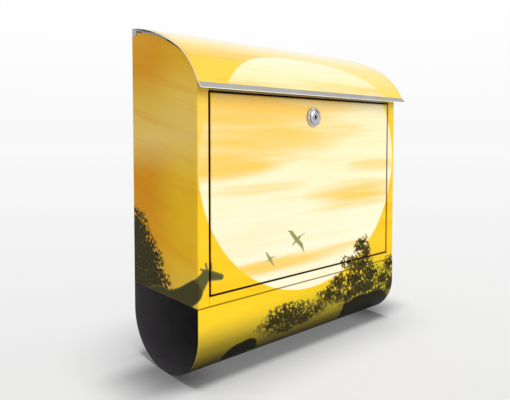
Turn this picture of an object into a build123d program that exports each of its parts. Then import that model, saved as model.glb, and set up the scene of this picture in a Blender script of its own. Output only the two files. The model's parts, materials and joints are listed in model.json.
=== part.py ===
"""A wall letter box of folded sheet steel, with a lift-up arched hood, a drop-down door with
a cam lock, and a newspaper roll that is open at both ends.

Millimetres, +Z up, +X to the right of someone facing the box, -Y towards them. The wall is
the plane Y = 0, and the origin is the centre of the four wall holes on that plane.
"""

from build123d import *
from math import cos, radians, sin
import os

os.makedirs("parts", exist_ok=True)

# ------------------------------------------------------------------ driving dimensions
body_width = 380.0
body_depth = 151.0
sheet = 1.0
bend = 1.5  # outside radius of a folded corner
weld_gap = 0.3  # line left open where two sheets meet edge to edge
weld_flange = 10.0

seam_z = -170.0  # the cabinet ends here and the newspaper roll begins
back_top_z = 159.0
front_flange = 16.0
notch_clearance = 1.5  # behind the side panel, in front of the hinge block
jamb_depth = 12.0
sill_height = 11.0
header_height = 13.3
header_depth = 12.0
stop_lip_drop = 13.2
stop_lip_setback = 11.5
seam_flange = 12.0

door_height = 234.2
door_gap = 2.0
door_side_gap = 2.5
door_depth = 10.0
door_bend = 2.0
door_axis_inset = 6.0  # up from the door's bottom, and back from its face

hood_sheet = 1.2
hood_overhang = 5.5
hood_gap = 5.0  # from the hood's outside down to the side panels' arched edges
hood_rear_y = -12.0
hood_rear_z = 167.7
hood_rear_angle = 7.0
hood_break_angle = 30.0
hood_end_angle = 63.6
level_angle = 90.0
hood_rear_radius = 285.0
hood_front_radius = 106.0
lip_angle = 47.0
lip_length = 8.5

hinge_y = -6.0
hinge_z = 164.65
rod_radius = 2.5
knuckle_radius = 3.75
block_radius = 4.6
block_width = 8.0
block_wall = 1.5
bracket_width = 14.0
hinge_rivet_head = 2.8
hinge_rivet_flat = 1.7
tongue_height = 13.0
tongue_thickness = 2.5

slot_width = 320.0
slot_height = 35.0
slot_guard = 18.0
slot_place = 0.4  # how far up the sloping plate the slot's centre is
inlet_front_z = 91.5
inlet_rear_z = 132.0
inlet_flange = 12.0

roll_straight = 33.4
roll_corner_radius = 60.0
roll_corner_angle = 60.0

wall_hole_radius = 4.0
countersink_angle = 45
wall_hole_spacing_x = 300.0
wall_hole_spacing_z = 220.0

rivet_radius = 1.95
rivet_hole_radius = 2.0
rivet_head_radius = 4.0
rivet_head_flat = 2.4
rivet_tail_radius = 2.6
rivet_head_height = 1.2
rivet_pitch = 105.0
rivets_per_row = 4

lock_z = 52.7
gasket = 0.5
lock_flange_radius = 12.6
lock_flange_height = 2.4
lock_recess_radius = 9.6
lock_recess_depth = 1.0
lock_barrel_radius = 9.0
lock_barrel_length = 13.2
lock_flat = 8.0  # from the axis to each flat of the barrel
nut_across_flats = 22.0
nut_height = 3.0
core_radius = 6.5
core_head_radius = 9.0
core_head_height = 2.6
core_dome = 1.2
keyhole_width = 4.6
keyhole_height = 8.6
keyhole_depth = 1.6
key_slot_width = 1.8
key_slot_height = 7.0
key_slot_depth = 12.0
wafer_width = 5.5
wafer_height = 11.0
wafer_thickness = 0.8
wafer_pitch = 1.8
wafer_count = 4
cam_length = 24.0
cam_width = 14.0
cam_thickness = 2.0
shank_square = 6.0
cam_screw_radius = 1.5
cam_screw_head = 3.5
cam_washer_radius = 5.4

pin_radius = 2.0
pin_head_radius = 3.6
pin_head_height = 1.2
clip_thickness = 0.8
washer_radius = 5.0
running = 0.05  # radial clearance of a turning fit
apart = 0.3  # least distance between parts that move past each other

hood_bumper_radius = 4.5
hood_bumper_x = 120.0
hood_bumper_setback = 5.0
door_bumper_radius = 4.0
door_bumper_x = 120.0
bumper_peg_radius = 1.5

# ------------------------------------------------------------------ places worked out
half_width = body_width / 2
inner_half = half_width - sheet
opening_half = half_width - front_flange
lining_half = opening_half - weld_gap
front_y = -body_depth
jamb_back_y = front_y + jamb_depth
sill_z = seam_z + sill_height
door_half = opening_half - door_side_gap
door_bottom_z = sill_z + door_gap
door_top_z = door_bottom_z + door_height
door_axis_y = front_y + door_axis_inset
door_axis_z = door_bottom_z + door_axis_inset
header_z = door_top_z + door_gap
header_top_z = header_z + header_height
header_back_y = front_y + header_depth
stop_y = front_y + stop_lip_setback
stop_bottom_z = header_z - stop_lip_drop
hood_half = half_width + hood_overhang
hood_top_z = hood_rear_z + block_radius
knuckle_end = half_width - block_width - 2 * weld_gap
wall_holes = GridLocations(wall_hole_spacing_x, wall_hole_spacing_z, 2, 2).locations
rivet_places = [(index - (rivets_per_row - 1) / 2) * rivet_pitch for index in range(rivets_per_row)]

rear_centre_y = hood_rear_y + hood_rear_radius * sin(radians(hood_rear_angle))
rear_centre_z = hood_rear_z - hood_rear_radius * cos(radians(hood_rear_angle))
radius_step = hood_rear_radius - hood_front_radius
front_centre_y = rear_centre_y - radius_step * sin(radians(hood_break_angle))
front_centre_z = rear_centre_z + radius_step * cos(radians(hood_break_angle))


# ------------------------------------------------------------------ shared profiles
def rear_arc_point(angle, inset=0.0):
    """Point (y, z) on the hood's flatter rear arc, at an angle from the vertical."""
    radius = hood_rear_radius - inset
    return (rear_centre_y - radius * sin(radians(angle)), rear_centre_z + radius * cos(radians(angle)))


def front_arc_point(angle, inset=0.0):
    """Point (y, z) on the hood's rounder front arc, at an angle from the vertical."""
    radius = hood_front_radius - inset
    return (front_centre_y - radius * sin(radians(angle)), front_centre_z + radius * cos(radians(angle)))


def add_arch(inset, end_angle):
    """Adds the two arcs of the hood's curve, from the rear forward, to the open line."""
    ThreePointArc(
        rear_arc_point(hood_rear_angle, inset),
        rear_arc_point((hood_rear_angle + hood_break_angle) / 2, inset),
        rear_arc_point(hood_break_angle, inset),
    )
    ThreePointArc(
        front_arc_point(hood_break_angle, inset),
        front_arc_point((hood_break_angle + end_angle) / 2, inset),
        front_arc_point(end_angle, inset),
    )


def add_folded_section(points, radii, side=Side.LEFT, thickness=sheet):
    """Adds the section of a folded sheet to the open sketch, with one face on the points."""
    with BuildLine() as section:
        FilletPolyline(*points, radius=radii)
        offset(section.line, amount=thickness, side=side)
    make_face(section.line.edges())


# ------------------------------------------------------------------ cabinet: side panels
notch_y = hinge_y - block_radius - notch_clearance
notch_z = back_top_z - weld_gap
arch_rear = rear_arc_point(hood_rear_angle, hood_gap)
far_above = 2 * hood_top_z
far_ahead = 2 * front_y

with BuildPart() as left_side_panel:
    # Plate and front flange, with a jamb turned back beside the door.
    plate_line = [(-half_width, 0), (-half_width, front_y), (-opening_half, front_y)]
    jamb_line = plate_line + [(-opening_half, jamb_back_y)]
    with BuildSketch(Plane.XY.offset(seam_z)):
        add_folded_section(plate_line, bend)
    extrude(amount=sill_height + weld_gap)
    with BuildSketch(Plane.XY.offset(sill_z + weld_gap)):
        add_folded_section(jamb_line, bend)
    extrude(amount=header_z - sill_z - 2 * weld_gap)
    with BuildSketch(Plane.XY.offset(header_z - weld_gap)):
        add_folded_section(plate_line, bend)
    extrude(amount=hood_top_z - header_z)
    # The top edge follows the hood, and the rear corner is cut away for the hinge block.
    with BuildSketch(Plane.YZ):
        with BuildLine():
            add_arch(hood_gap, level_angle)
            Polyline(
                front_arc_point(level_angle, hood_gap),
                (far_ahead, front_centre_z),
                (far_ahead, far_above),
                (-front_y, far_above),
                (-front_y, arch_rear[1]),
                arch_rear,
            )
        make_face()
        with Locations((notch_y, notch_z)):
            Rectangle(-front_y, far_above, align=(Align.MIN, Align.MIN))
    extrude(amount=body_width, both=True, mode=Mode.SUBTRACT)
    # Hole for the door's hinge pin, through the jamb only.
    with BuildSketch(Plane.YZ.offset(-lining_half - bend)):
        with Locations((door_axis_y, door_axis_z)):
            Circle(pin_radius + running)
    extrude(amount=2 * bend, mode=Mode.SUBTRACT)

with BuildPart() as right_side_panel:
    mirror(left_side_panel.part, about=Plane.YZ)

# ------------------------------------------------------------------ cabinet: back panel
hinge_rivet_z = back_top_z - tongue_height / 2
tongue_width = block_width - 2 * sheet - 2 * weld_gap
tongue_x = half_width - block_width + tongue_width / 2
hinge_rivet_x = [-tongue_x, 0, tongue_x]
return_half = inner_half - 3 * sheet
upstand_start = bracket_width / 2 + weld_gap
upstand_width = knuckle_end - upstand_start
upstand_x = (upstand_start + knuckle_end) / 2

with BuildPart() as back_panel:
    # Plate with welding flanges turned forward inside the side panels.
    with BuildSketch(Plane.XY.offset(seam_z + 2 * sheet)):
        add_folded_section(
            [(inner_half, -weld_flange), (inner_half, 0), (-inner_half, 0), (-inner_half, -weld_flange)],
            bend,
        )
    extrude(amount=back_top_z - seam_z - 2 * sheet)
    # Upstands behind the hood's rolled edge, between the hinge supports.
    with BuildSketch(Plane.XZ):
        with Locations(*[(side * upstand_x, back_top_z) for side in (-1, 1)]):
            Rectangle(upstand_width, 2 * (hinge_z - back_top_z))
    extrude(amount=sheet)
    # Flange along the bottom, which carries the newspaper roll.
    with BuildSketch(Plane.YZ):
        add_folded_section(
            [(0, seam_z + seam_flange), (0, seam_z), (-seam_flange, seam_z)], bend, side=Side.RIGHT
        )
    extrude(amount=return_half, both=True)
    with BuildSketch(Plane.XZ):
        with Locations(*wall_holes):
            Circle(wall_hole_radius)
    extrude(amount=2 * sheet, both=True, mode=Mode.SUBTRACT)
    # Countersunk holes for the hinge rivets, flush against the wall.
    with BuildSketch(Plane.XZ):
        with Locations(*[(x, hinge_rivet_z) for x in hinge_rivet_x]):
            Circle(rivet_hole_radius + sheet)
    extrude(amount=sheet, taper=countersink_angle, mode=Mode.SUBTRACT)
    with BuildSketch(Plane.XY.offset(seam_z)):
        with Locations(*[(x, -seam_flange / 2) for x in rivet_places]):
            Circle(rivet_hole_radius)
    extrude(amount=2 * sheet, mode=Mode.SUBTRACT)

# ------------------------------------------------------------------ cabinet: floor
front_row_y = front_y + seam_flange / 2 + sheet
floor_underside_z = sill_z - sheet
relief_y = jamb_back_y + weld_gap

with BuildPart() as floor_panel:
    # Strip under the door, with a flange below for the newspaper roll.
    with BuildSketch(Plane.YZ):
        add_folded_section(
            [
                (front_y + seam_flange, seam_z),
                (front_y, seam_z),
                (front_y, sill_z),
                (relief_y + weld_flange, sill_z),
            ],
            bend,
            side=Side.RIGHT,
        )
    extrude(amount=lining_half, both=True)
    # Floor behind the jambs, turned up against the side panels and the back.
    with BuildSketch(Plane.XZ.offset(-relief_y)):
        add_folded_section(
            [
                (inner_half, floor_underside_z + weld_flange),
                (inner_half, floor_underside_z),
                (-inner_half, floor_underside_z),
                (-inner_half, floor_underside_z + weld_flange),
            ],
            bend,
            side=Side.RIGHT,
        )
    extrude(amount=relief_y + weld_flange + sheet)
    with BuildSketch(Plane.YZ):
        add_folded_section(
            [
                (relief_y, floor_underside_z),
                (-sheet, floor_underside_z),
                (-sheet, floor_underside_z + weld_flange),
            ],
            bend,
        )
    extrude(amount=return_half, both=True)
    with BuildSketch(Plane.XY.offset(seam_z)):
        with Locations(*[(x, front_row_y) for x in rivet_places]):
            Circle(rivet_hole_radius)
    extrude(amount=2 * sheet, mode=Mode.SUBTRACT)

# ------------------------------------------------------------------ cabinet: header
bumper_y = front_y + hood_bumper_setback
tab_y = front_y + bend + sheet
stop_bumper_z = header_z - door_bumper_radius - sheet / 2

with BuildPart() as header_rail:
    # Closed rail over the door, ending below in the lip that the door closes against.
    with BuildSketch(Plane.YZ):
        add_folded_section(
            [
                (header_back_y, header_top_z),
                (front_y, header_top_z),
                (front_y, header_z),
                (stop_y, header_z),
                (stop_y, stop_bottom_z),
            ],
            [bend, bend, sheet / 2],
        )
    extrude(amount=lining_half, both=True)
    # The top flange reaches the side panels behind their front flanges.
    with BuildSketch(Plane.XZ.offset(-tab_y)):
        add_folded_section(
            [
                (inner_half, header_z + sheet),
                (inner_half, header_top_z),
                (-inner_half, header_top_z),
                (-inner_half, header_z + sheet),
            ],
            bend,
        )
    extrude(amount=tab_y - header_back_y)
    with BuildSketch(Plane.XY.offset(header_top_z)):
        with Locations((-hood_bumper_x, bumper_y), (hood_bumper_x, bumper_y)):
            Circle(bumper_peg_radius)
    extrude(amount=-2 * sheet, mode=Mode.SUBTRACT)
    with BuildSketch(Plane.XZ.offset(-stop_y)):
        with Locations((-door_bumper_x, stop_bumper_z), (door_bumper_x, stop_bumper_z)):
            Circle(bumper_peg_radius)
    extrude(amount=-2 * sheet, mode=Mode.SUBTRACT)

# ------------------------------------------------------------------ cabinet: mail inlet
inlet_front_y = header_back_y + 3 * sheet
inlet_rear_y = -2 * sheet
inlet_slope = Vector(0, inlet_rear_y - inlet_front_y, inlet_rear_z - inlet_front_z)
slot_centre = Vector(0, inlet_front_y, inlet_front_z) + inlet_slope * slot_place
slot_plane = Plane(slot_centre, x_dir=(1, 0, 0), z_dir=inlet_slope.cross(Vector(-1, 0, 0)))

with BuildPart() as inlet_plate:
    with BuildSketch(Plane.YZ):
        add_folded_section(
            [
                (tab_y, inlet_front_z),
                (inlet_front_y, inlet_front_z),
                (inlet_rear_y, inlet_rear_z),
                (inlet_rear_y, inlet_rear_z + inlet_flange),
            ],
            bend,
            side=Side.RIGHT,
        )
    extrude(amount=inner_half - 2 * sheet + weld_gap, both=True)
    with BuildSketch(slot_plane):
        Rectangle(slot_width, slot_height)
    extrude(amount=2 * sheet, both=True, mode=Mode.SUBTRACT)
    # Guard turned down along the slot's rear edge, against reaching in.
    with BuildSketch(slot_plane.offset(-sheet / 2)):
        with Locations((0, slot_height / 2 + sheet / 2)):
            Rectangle(slot_width, sheet)
    extrude(amount=-slot_guard)
    with BuildSketch(Plane.XY.offset(inlet_front_z)):
        with Locations((-hood_bumper_x, bumper_y), (hood_bumper_x, bumper_y)):
            Circle(bumper_peg_radius)
    extrude(amount=-2 * sheet, mode=Mode.SUBTRACT)

# ------------------------------------------------------------------ cabinet: hood hinge
rod_half = half_width - block_wall - weld_gap


def add_hinge_support(centre_x, width, tongue_x, tongue_width):
    """Adds a support for the hood's rod, with its riveted tongue, to the open part."""
    with BuildSketch(Plane.YZ.offset(centre_x)) as outline:
        with Locations((hinge_y, hinge_z)):
            Circle(block_radius)
            Rectangle(-hinge_y, block_radius, align=(Align.MIN, Align.MIN))
        with Locations((0, back_top_z)):
            Rectangle(block_radius - hinge_y, hinge_z - back_top_z, align=(Align.MAX, Align.MIN))
    extrude(outline.sketch, amount=width / 2, both=True)
    with BuildSketch(Plane.XZ.offset(sheet)) as tongue:
        with Locations((tongue_x, back_top_z + sheet)):
            Rectangle(tongue_width, tongue_height + sheet, align=(Align.CENTER, Align.MAX))
        with Locations((tongue_x, hinge_rivet_z)):
            Circle(rivet_hole_radius, mode=Mode.SUBTRACT)
    extrude(tongue.sketch, amount=tongue_thickness)


with BuildPart() as hinge_bracket:
    add_hinge_support(0, bracket_width, 0, bracket_width)
    with BuildSketch(Plane.YZ):
        with Locations((hinge_y, hinge_z)):
            Circle(rod_radius + running)
    extrude(amount=bracket_width, both=True, mode=Mode.SUBTRACT)

with BuildPart() as hinge_block_left:
    # The rod sits in a blind hole, so the block's outer end is plain.
    add_hinge_support(-half_width + block_width / 2, block_width, -tongue_x, tongue_width)
    with BuildSketch(Plane.YZ.offset(-half_width + block_wall)):
        with Locations((hinge_y, hinge_z)):
            Circle(rod_radius + running)
    extrude(amount=block_width, mode=Mode.SUBTRACT)

with BuildPart() as hinge_block_right:
    mirror(hinge_block_left.part, about=Plane.YZ)

rivet_grip = sheet + tongue_thickness
rivet_shank = rivet_hole_radius - running
countersink = rivet_hole_radius + sheet - running
hinge_head_end = rivet_grip + rivet_head_height

with BuildPart() as solid_rivet:
    # A round head inside the box, and a tail hammered flush into its countersink.
    with BuildSketch(Plane.XY):
        with BuildLine():
            Polyline(
                (0, -hinge_head_end),
                (0, 0),
                (countersink, 0),
                (rivet_shank, -sheet),
                (rivet_shank, -rivet_grip),
                (hinge_rivet_head, -rivet_grip),
                (hinge_rivet_flat, -hinge_head_end),
                close=True,
            )
        make_face()
    revolve(axis=Axis.Y)

with BuildPart() as hinge_rivets:
    with Locations(*[(x, 0, hinge_rivet_z) for x in hinge_rivet_x]):
        add(solid_rivet.part)

with BuildPart() as hood_hinge_rod:
    with BuildSketch(Plane.YZ):
        with Locations((hinge_y, hinge_z)):
            Circle(rod_radius)
    extrude(amount=rod_half, both=True)
    chamfer(hood_hinge_rod.edges().filter_by(GeomType.CIRCLE), length=weld_gap)

# ------------------------------------------------------------------ hood
knuckle_start = bracket_width / 2 + 2 * weld_gap
hood_end = front_arc_point(hood_end_angle)
lip_end = (
    hood_end[0] - lip_length * cos(radians(lip_angle)),
    hood_end[1] - lip_length * sin(radians(lip_angle)),
)


def knuckle_point(radius):
    """Point (y, z) above the hood's rod where the sheet leaves the rolled knuckle."""
    angle = radians(hood_rear_angle)
    return (hinge_y - radius * sin(angle), hinge_z + radius * cos(angle))


with BuildPart() as hood:
    with BuildSketch(Plane.YZ):
        with BuildLine() as hood_line:
            add_arch(0, hood_end_angle)
            Line(hood_end, lip_end)
            offset(hood_line.line, amount=hood_sheet, side=Side.LEFT)
        make_face()
    extrude(amount=hood_half, both=True)
    # The rear edge is rolled round the rod on both sides of the middle bracket.
    for side in (-1, 1):
        with BuildSketch(Plane.YZ.offset(side * (knuckle_start + knuckle_end) / 2)):
            Polygon(
                knuckle_point(knuckle_radius),
                (hood_rear_y, hood_rear_z),
                rear_arc_point(hood_rear_angle, hood_sheet),
                knuckle_point(knuckle_radius - hood_sheet),
                align=None,
            )
            with Locations((hinge_y, hinge_z)):
                Circle(knuckle_radius)
                Circle(rod_radius + running, mode=Mode.SUBTRACT)
        extrude(amount=(knuckle_end - knuckle_start) / 2, both=True)

# ------------------------------------------------------------------ hood and door bumpers
hood_reach = hood_front_radius - hood_sheet - hood_bumper_radius - apart
bumper_rise = (hood_reach**2 - (front_centre_y - bumper_y) ** 2) ** 0.5
bumper_dome_z = front_centre_z + bumper_rise
peg_foot_z = header_top_z - 3 * sheet

with BuildPart() as hood_bumpers:
    # Round-topped posts pegged into the header, just clear of the closed hood.
    for x in (-hood_bumper_x, hood_bumper_x):
        with BuildSketch(Plane.XY.offset(header_top_z)):
            with Locations((x, bumper_y)):
                Circle(hood_bumper_radius)
        extrude(amount=bumper_dome_z - header_top_z)
        with Locations((x, bumper_y, bumper_dome_z)):
            Sphere(hood_bumper_radius)
        with BuildSketch(Plane.XY.offset(peg_foot_z)):
            with Locations((x, bumper_y)):
                Circle(bumper_peg_radius)
        extrude(amount=header_top_z - peg_foot_z)

door_back_y = front_y + door_depth

with BuildPart() as door_bumpers:
    # Buttons pegged into the stop lip, just clear of the closed door's edge.
    for x in (-door_bumper_x, door_bumper_x):
        with BuildSketch(Plane.XZ.offset(-stop_y)):
            with Locations((x, stop_bumper_z)):
                Circle(door_bumper_radius)
        extrude(amount=stop_y - door_back_y - apart)
        with BuildSketch(Plane.XZ.offset(-stop_y)):
            with Locations((x, stop_bumper_z)):
                Circle(bumper_peg_radius)
        extrude(amount=-2 * sheet)
    front_rims = door_bumpers.edges().filter_by(GeomType.CIRCLE).group_by(Axis.Y)[0]
    fillet(front_rims, radius=weld_gap)

# ------------------------------------------------------------------ door
door_middle_z = (door_bottom_z + door_top_z) / 2


def add_lock_outline(grow):
    """Adds the barrel's section, round with two flats, to the open sketch."""
    Circle(lock_barrel_radius + grow)
    Rectangle(2 * (lock_flat + grow), body_depth, mode=Mode.INTERSECT)


with BuildPart() as front_door:
    # Shallow pan with its edges turned back.
    with BuildSketch(Plane.XZ.offset(-door_back_y)):
        with Locations((0, door_middle_z)):
            Rectangle(2 * door_half, door_height)
    extrude(amount=door_depth)
    fillet(front_door.edges().filter_by(Axis.Y), radius=door_bend)
    fillet(front_door.faces().sort_by(Axis.Y)[0].edges(), radius=door_bend)
    offset(amount=-sheet, openings=front_door.faces().sort_by(Axis.Y)[-1])
    with BuildSketch(Plane.XZ.offset(body_depth)):
        with Locations((0, lock_z)):
            add_lock_outline(2 * running)
    extrude(amount=-2 * sheet, mode=Mode.SUBTRACT)
    with BuildSketch(Plane.YZ):
        with Locations((door_axis_y, door_axis_z)):
            Circle(pin_radius + running)
    extrude(amount=body_width, both=True, mode=Mode.SUBTRACT)

# ------------------------------------------------------------------ door hinge
door_inside_x = door_half - sheet
pin_head_x = door_inside_x - apart
clip_x = opening_half + sheet
clip_end_x = clip_x + clip_thickness


def add_ring_pair(start_x, end_x, outer_radius, inner_radius=0.0):
    """Adds a ring on the door's hinge axis at both ends of the box to the open part."""
    for side in (-1, 1):
        with BuildSketch(Plane.YZ.offset(side * (start_x + end_x) / 2)) as ring:
            with Locations((door_axis_y, door_axis_z)):
                Circle(outer_radius)
                if inner_radius:
                    Circle(inner_radius, mode=Mode.SUBTRACT)
        extrude(ring.sketch, amount=(end_x - start_x) / 2, both=True)


with BuildPart() as door_hinge_pins:
    add_ring_pair(pin_head_x - pin_head_height, pin_head_x, pin_head_radius)
    add_ring_pair(pin_head_x, clip_end_x + weld_gap, pin_radius)

with BuildPart() as door_hinge_washers:
    add_ring_pair(door_half + apart, opening_half, washer_radius, pin_radius)

with BuildPart() as door_pin_clips:
    add_ring_pair(clip_x, clip_end_x, pin_head_radius, pin_radius)

# ------------------------------------------------------------------ lock
gasket_y = front_y - gasket
flange_y = gasket_y - lock_flange_height
barrel_end_y = gasket_y + lock_barrel_length
recess_y = flange_y + lock_recess_depth
core_back_y = recess_y - apart
shoulder_y = barrel_end_y + apart
cam_back_y = shoulder_y + cam_thickness
core_front_y = core_back_y - core_head_height

with BuildPart() as lock_gasket:
    with BuildSketch(Plane.XZ.offset(body_depth)):
        with Locations((0, lock_z)):
            Circle(lock_flange_radius - gasket)
            Circle(lock_barrel_radius + gasket, mode=Mode.SUBTRACT)
    extrude(amount=gasket)

with BuildPart() as lock_housing:
    with BuildSketch(Plane.XZ.offset(-gasket_y)):
        with Locations((0, lock_z)):
            Circle(lock_flange_radius)
    extrude(amount=lock_flange_height)
    fillet(lock_housing.faces().sort_by(Axis.Y)[0].edges(), radius=lock_flange_height / 2)
    with BuildSketch(Plane.XZ.offset(-flange_y)):
        with Locations((0, lock_z)):
            Circle(lock_recess_radius)
    extrude(amount=-lock_recess_depth, mode=Mode.SUBTRACT)
    with BuildSketch(Plane.XZ.offset(-gasket_y)):
        with Locations((0, lock_z)):
            add_lock_outline(0)
    extrude(amount=-lock_barrel_length)
    with BuildSketch(Plane.XZ.offset(-flange_y)):
        with Locations((0, lock_z)):
            Circle(core_radius + running)
    extrude(amount=-body_depth, mode=Mode.SUBTRACT)

with BuildPart() as lock_nut:
    with BuildSketch(Plane.XZ.offset(body_depth - sheet)):
        with Locations((0, lock_z)):
            RegularPolygon(nut_across_flats / 2, side_count=6, major_radius=False)
            Circle(lock_barrel_radius, mode=Mode.SUBTRACT)
    extrude(amount=-nut_height)

slot_front_y = gasket_y + wafer_pitch
wafer_places = [slot_front_y + index * wafer_pitch for index in range(wafer_count)]

with BuildPart() as lock_core:
    # Turned plug with a domed head outside and a square for the cam inside.
    with BuildSketch(Plane.XZ.offset(-core_back_y)):
        with Locations((0, lock_z)):
            Circle(core_head_radius)
    extrude(amount=core_head_height)
    chamfer(
        lock_core.faces().sort_by(Axis.Y)[0].edges(),
        length=core_dome,
        length2=2 * core_dome,
        reference=lock_core.faces().filter_by(GeomType.CYLINDER)[0],
    )
    with BuildSketch(Plane.XZ.offset(-core_back_y)):
        with Locations((0, lock_z)):
            Circle(core_radius)
    extrude(amount=core_back_y - shoulder_y)
    with BuildSketch(Plane.XZ.offset(-shoulder_y)):
        with Locations((0, lock_z)):
            Rectangle(shank_square, shank_square)
    extrude(amount=-cam_thickness)
    # Lozenge-shaped key mouth, the key's slot, the wafers' slots and the cam screw's thread.
    with BuildSketch(Plane.XZ.offset(-core_front_y)):
        with Locations((0, lock_z)):
            Polygon(
                (0, keyhole_height / 2),
                (keyhole_width / 2, 0),
                (0, -keyhole_height / 2),
                (-keyhole_width / 2, 0),
            )
    extrude(amount=-keyhole_depth, mode=Mode.SUBTRACT)
    with BuildSketch(Plane.XZ.offset(-core_front_y)):
        with Locations((0, lock_z)):
            Rectangle(key_slot_width, key_slot_height)
    extrude(amount=-key_slot_depth, mode=Mode.SUBTRACT)
    for place in wafer_places:
        with Locations((0, place, lock_z)):
            Box(wafer_width + 2 * running, wafer_thickness + 2 * running, core_radius * 2, mode=Mode.SUBTRACT)
    with BuildSketch(Plane.XZ.offset(-cam_back_y)):
        with Locations((0, lock_z)):
            Circle(cam_screw_radius)
    extrude(amount=cam_thickness * 2, mode=Mode.SUBTRACT)

with BuildPart() as lock_wafers:
    # Brass leaves lifted by the key, each with a window for the blade.
    with Locations(*[(0, place, lock_z) for place in wafer_places]):
        Box(wafer_width, wafer_thickness, wafer_height)
        Box(key_slot_width, body_depth, key_slot_height, mode=Mode.SUBTRACT)

with BuildPart() as lock_cam:
    # Flat latch that points sideways while the door is free to open.
    with BuildSketch(Plane.XZ.offset(-shoulder_y)):
        with Locations((0, lock_z)):
            Rectangle(cam_length - cam_width / 2, cam_width, align=(Align.MIN, Align.CENTER))
            Circle(cam_width / 2)
        with Locations((cam_length - cam_width / 2, lock_z)):
            Circle(cam_width / 2)
        with Locations((0, lock_z)):
            Rectangle(shank_square, shank_square, mode=Mode.SUBTRACT)
    extrude(amount=-cam_thickness)

with BuildPart() as lock_cam_washer:
    with BuildSketch(Plane.XZ.offset(-cam_back_y)):
        with Locations((0, lock_z)):
            Circle(cam_washer_radius)
            Circle(cam_screw_radius + running, mode=Mode.SUBTRACT)
    extrude(amount=-sheet / 2)

screw_seat_y = cam_back_y + sheet / 2

with BuildPart() as lock_cam_screw:
    with BuildSketch(Plane.XZ.offset(-screw_seat_y)):
        with Locations((0, lock_z)):
            Circle(cam_screw_head)
    extrude(amount=-cam_thickness)
    with BuildSketch(Plane.XZ.offset(-screw_seat_y)):
        with Locations((0, lock_z)):
            Circle(cam_screw_radius)
    extrude(amount=2 * cam_thickness)
    screw_top = lock_cam_screw.faces().sort_by(Axis.Y)[-1]
    fillet(screw_top.edges(), radius=cam_thickness / 2)
    with BuildSketch(Plane.XZ.offset(-screw_seat_y - cam_thickness)):
        with Locations((0, lock_z)):
            Rectangle(cam_screw_head, sheet)
            Rectangle(sheet, cam_screw_head)
    extrude(amount=sheet, mode=Mode.SUBTRACT)

# ------------------------------------------------------------------ newspaper roll
middle_y = front_y / 2
corner_z = seam_z - roll_straight
flat_radius = roll_corner_radius + (body_depth / 2 - roll_corner_radius) / cos(radians(roll_corner_angle))
flat_centre_z = corner_z + (flat_radius - roll_corner_radius) * sin(radians(roll_corner_angle))
roll_bottom_z = flat_centre_z - flat_radius
corner_reach = body_depth / 2 - roll_corner_radius


def corner_point(side, angle):
    """Point (y, z) on the roll's corner arc; side is -1 in front and 1 at the wall."""
    reach = corner_reach + roll_corner_radius * cos(radians(angle))
    return (middle_y + side * reach, corner_z - roll_corner_radius * sin(radians(angle)))


roll_top_z = seam_z - bend
tab_end = seam_flange - bend

with BuildPart() as newspaper_roll:
    # One sheet: a straight leg, a corner, a flatter bottom, and back up the other side.
    with BuildSketch(Plane.YZ):
        with BuildLine() as roll_line:
            Line((0, roll_top_z), (0, corner_z))
            ThreePointArc(
                corner_point(1, 0),
                corner_point(1, roll_corner_angle / 2),
                corner_point(1, roll_corner_angle),
            )
            ThreePointArc(
                corner_point(1, roll_corner_angle),
                (middle_y, roll_bottom_z),
                corner_point(-1, roll_corner_angle),
            )
            ThreePointArc(
                corner_point(-1, roll_corner_angle),
                corner_point(-1, roll_corner_angle / 2),
                corner_point(-1, 0),
            )
            Line((front_y, corner_z), (front_y, roll_top_z))
            offset(roll_line.line, amount=sheet, side=Side.RIGHT)
        make_face()
    extrude(amount=half_width, both=True)
    # Flanges turned inward along the top, under those of the cabinet.
    for side, wall_y in ((1, 0.0), (-1, front_y)):
        with BuildSketch(Plane.YZ):
            add_folded_section(
                [
                    (wall_y, roll_top_z - bend),
                    (wall_y, seam_z),
                    (wall_y - side * seam_flange, seam_z),
                ],
                bend,
                side=Side.LEFT if side > 0 else Side.RIGHT,
            )
        extrude(amount=return_half, both=True)
    with BuildSketch(Plane.XY.offset(seam_z)):
        with Locations(*[(x, y) for x in rivet_places for y in (-seam_flange / 2, front_row_y)]):
            Circle(rivet_hole_radius)
    extrude(amount=-2 * sheet, mode=Mode.SUBTRACT)

roll_head_end = -sheet - rivet_head_height

with BuildPart() as blind_rivet:
    # A flat round head below the joint and an upset tail above it.
    with BuildSketch(Plane.XZ):
        with BuildLine():
            Polyline(
                (0, roll_head_end),
                (rivet_head_flat, roll_head_end),
                (rivet_head_radius, -sheet),
                (rivet_shank, -sheet),
                (rivet_shank, sheet),
                (rivet_tail_radius, sheet + rivet_head_height / 2),
                (rivet_shank, sheet + rivet_head_height),
                (0, sheet + rivet_head_height),
                close=True,
            )
        make_face()
    revolve(axis=Axis.Z)

with BuildPart() as roll_rivets:
    with Locations(*[(x, y, seam_z) for x in rivet_places for y in (-seam_flange / 2, front_row_y)]):
        add(blind_rivet.part)

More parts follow.
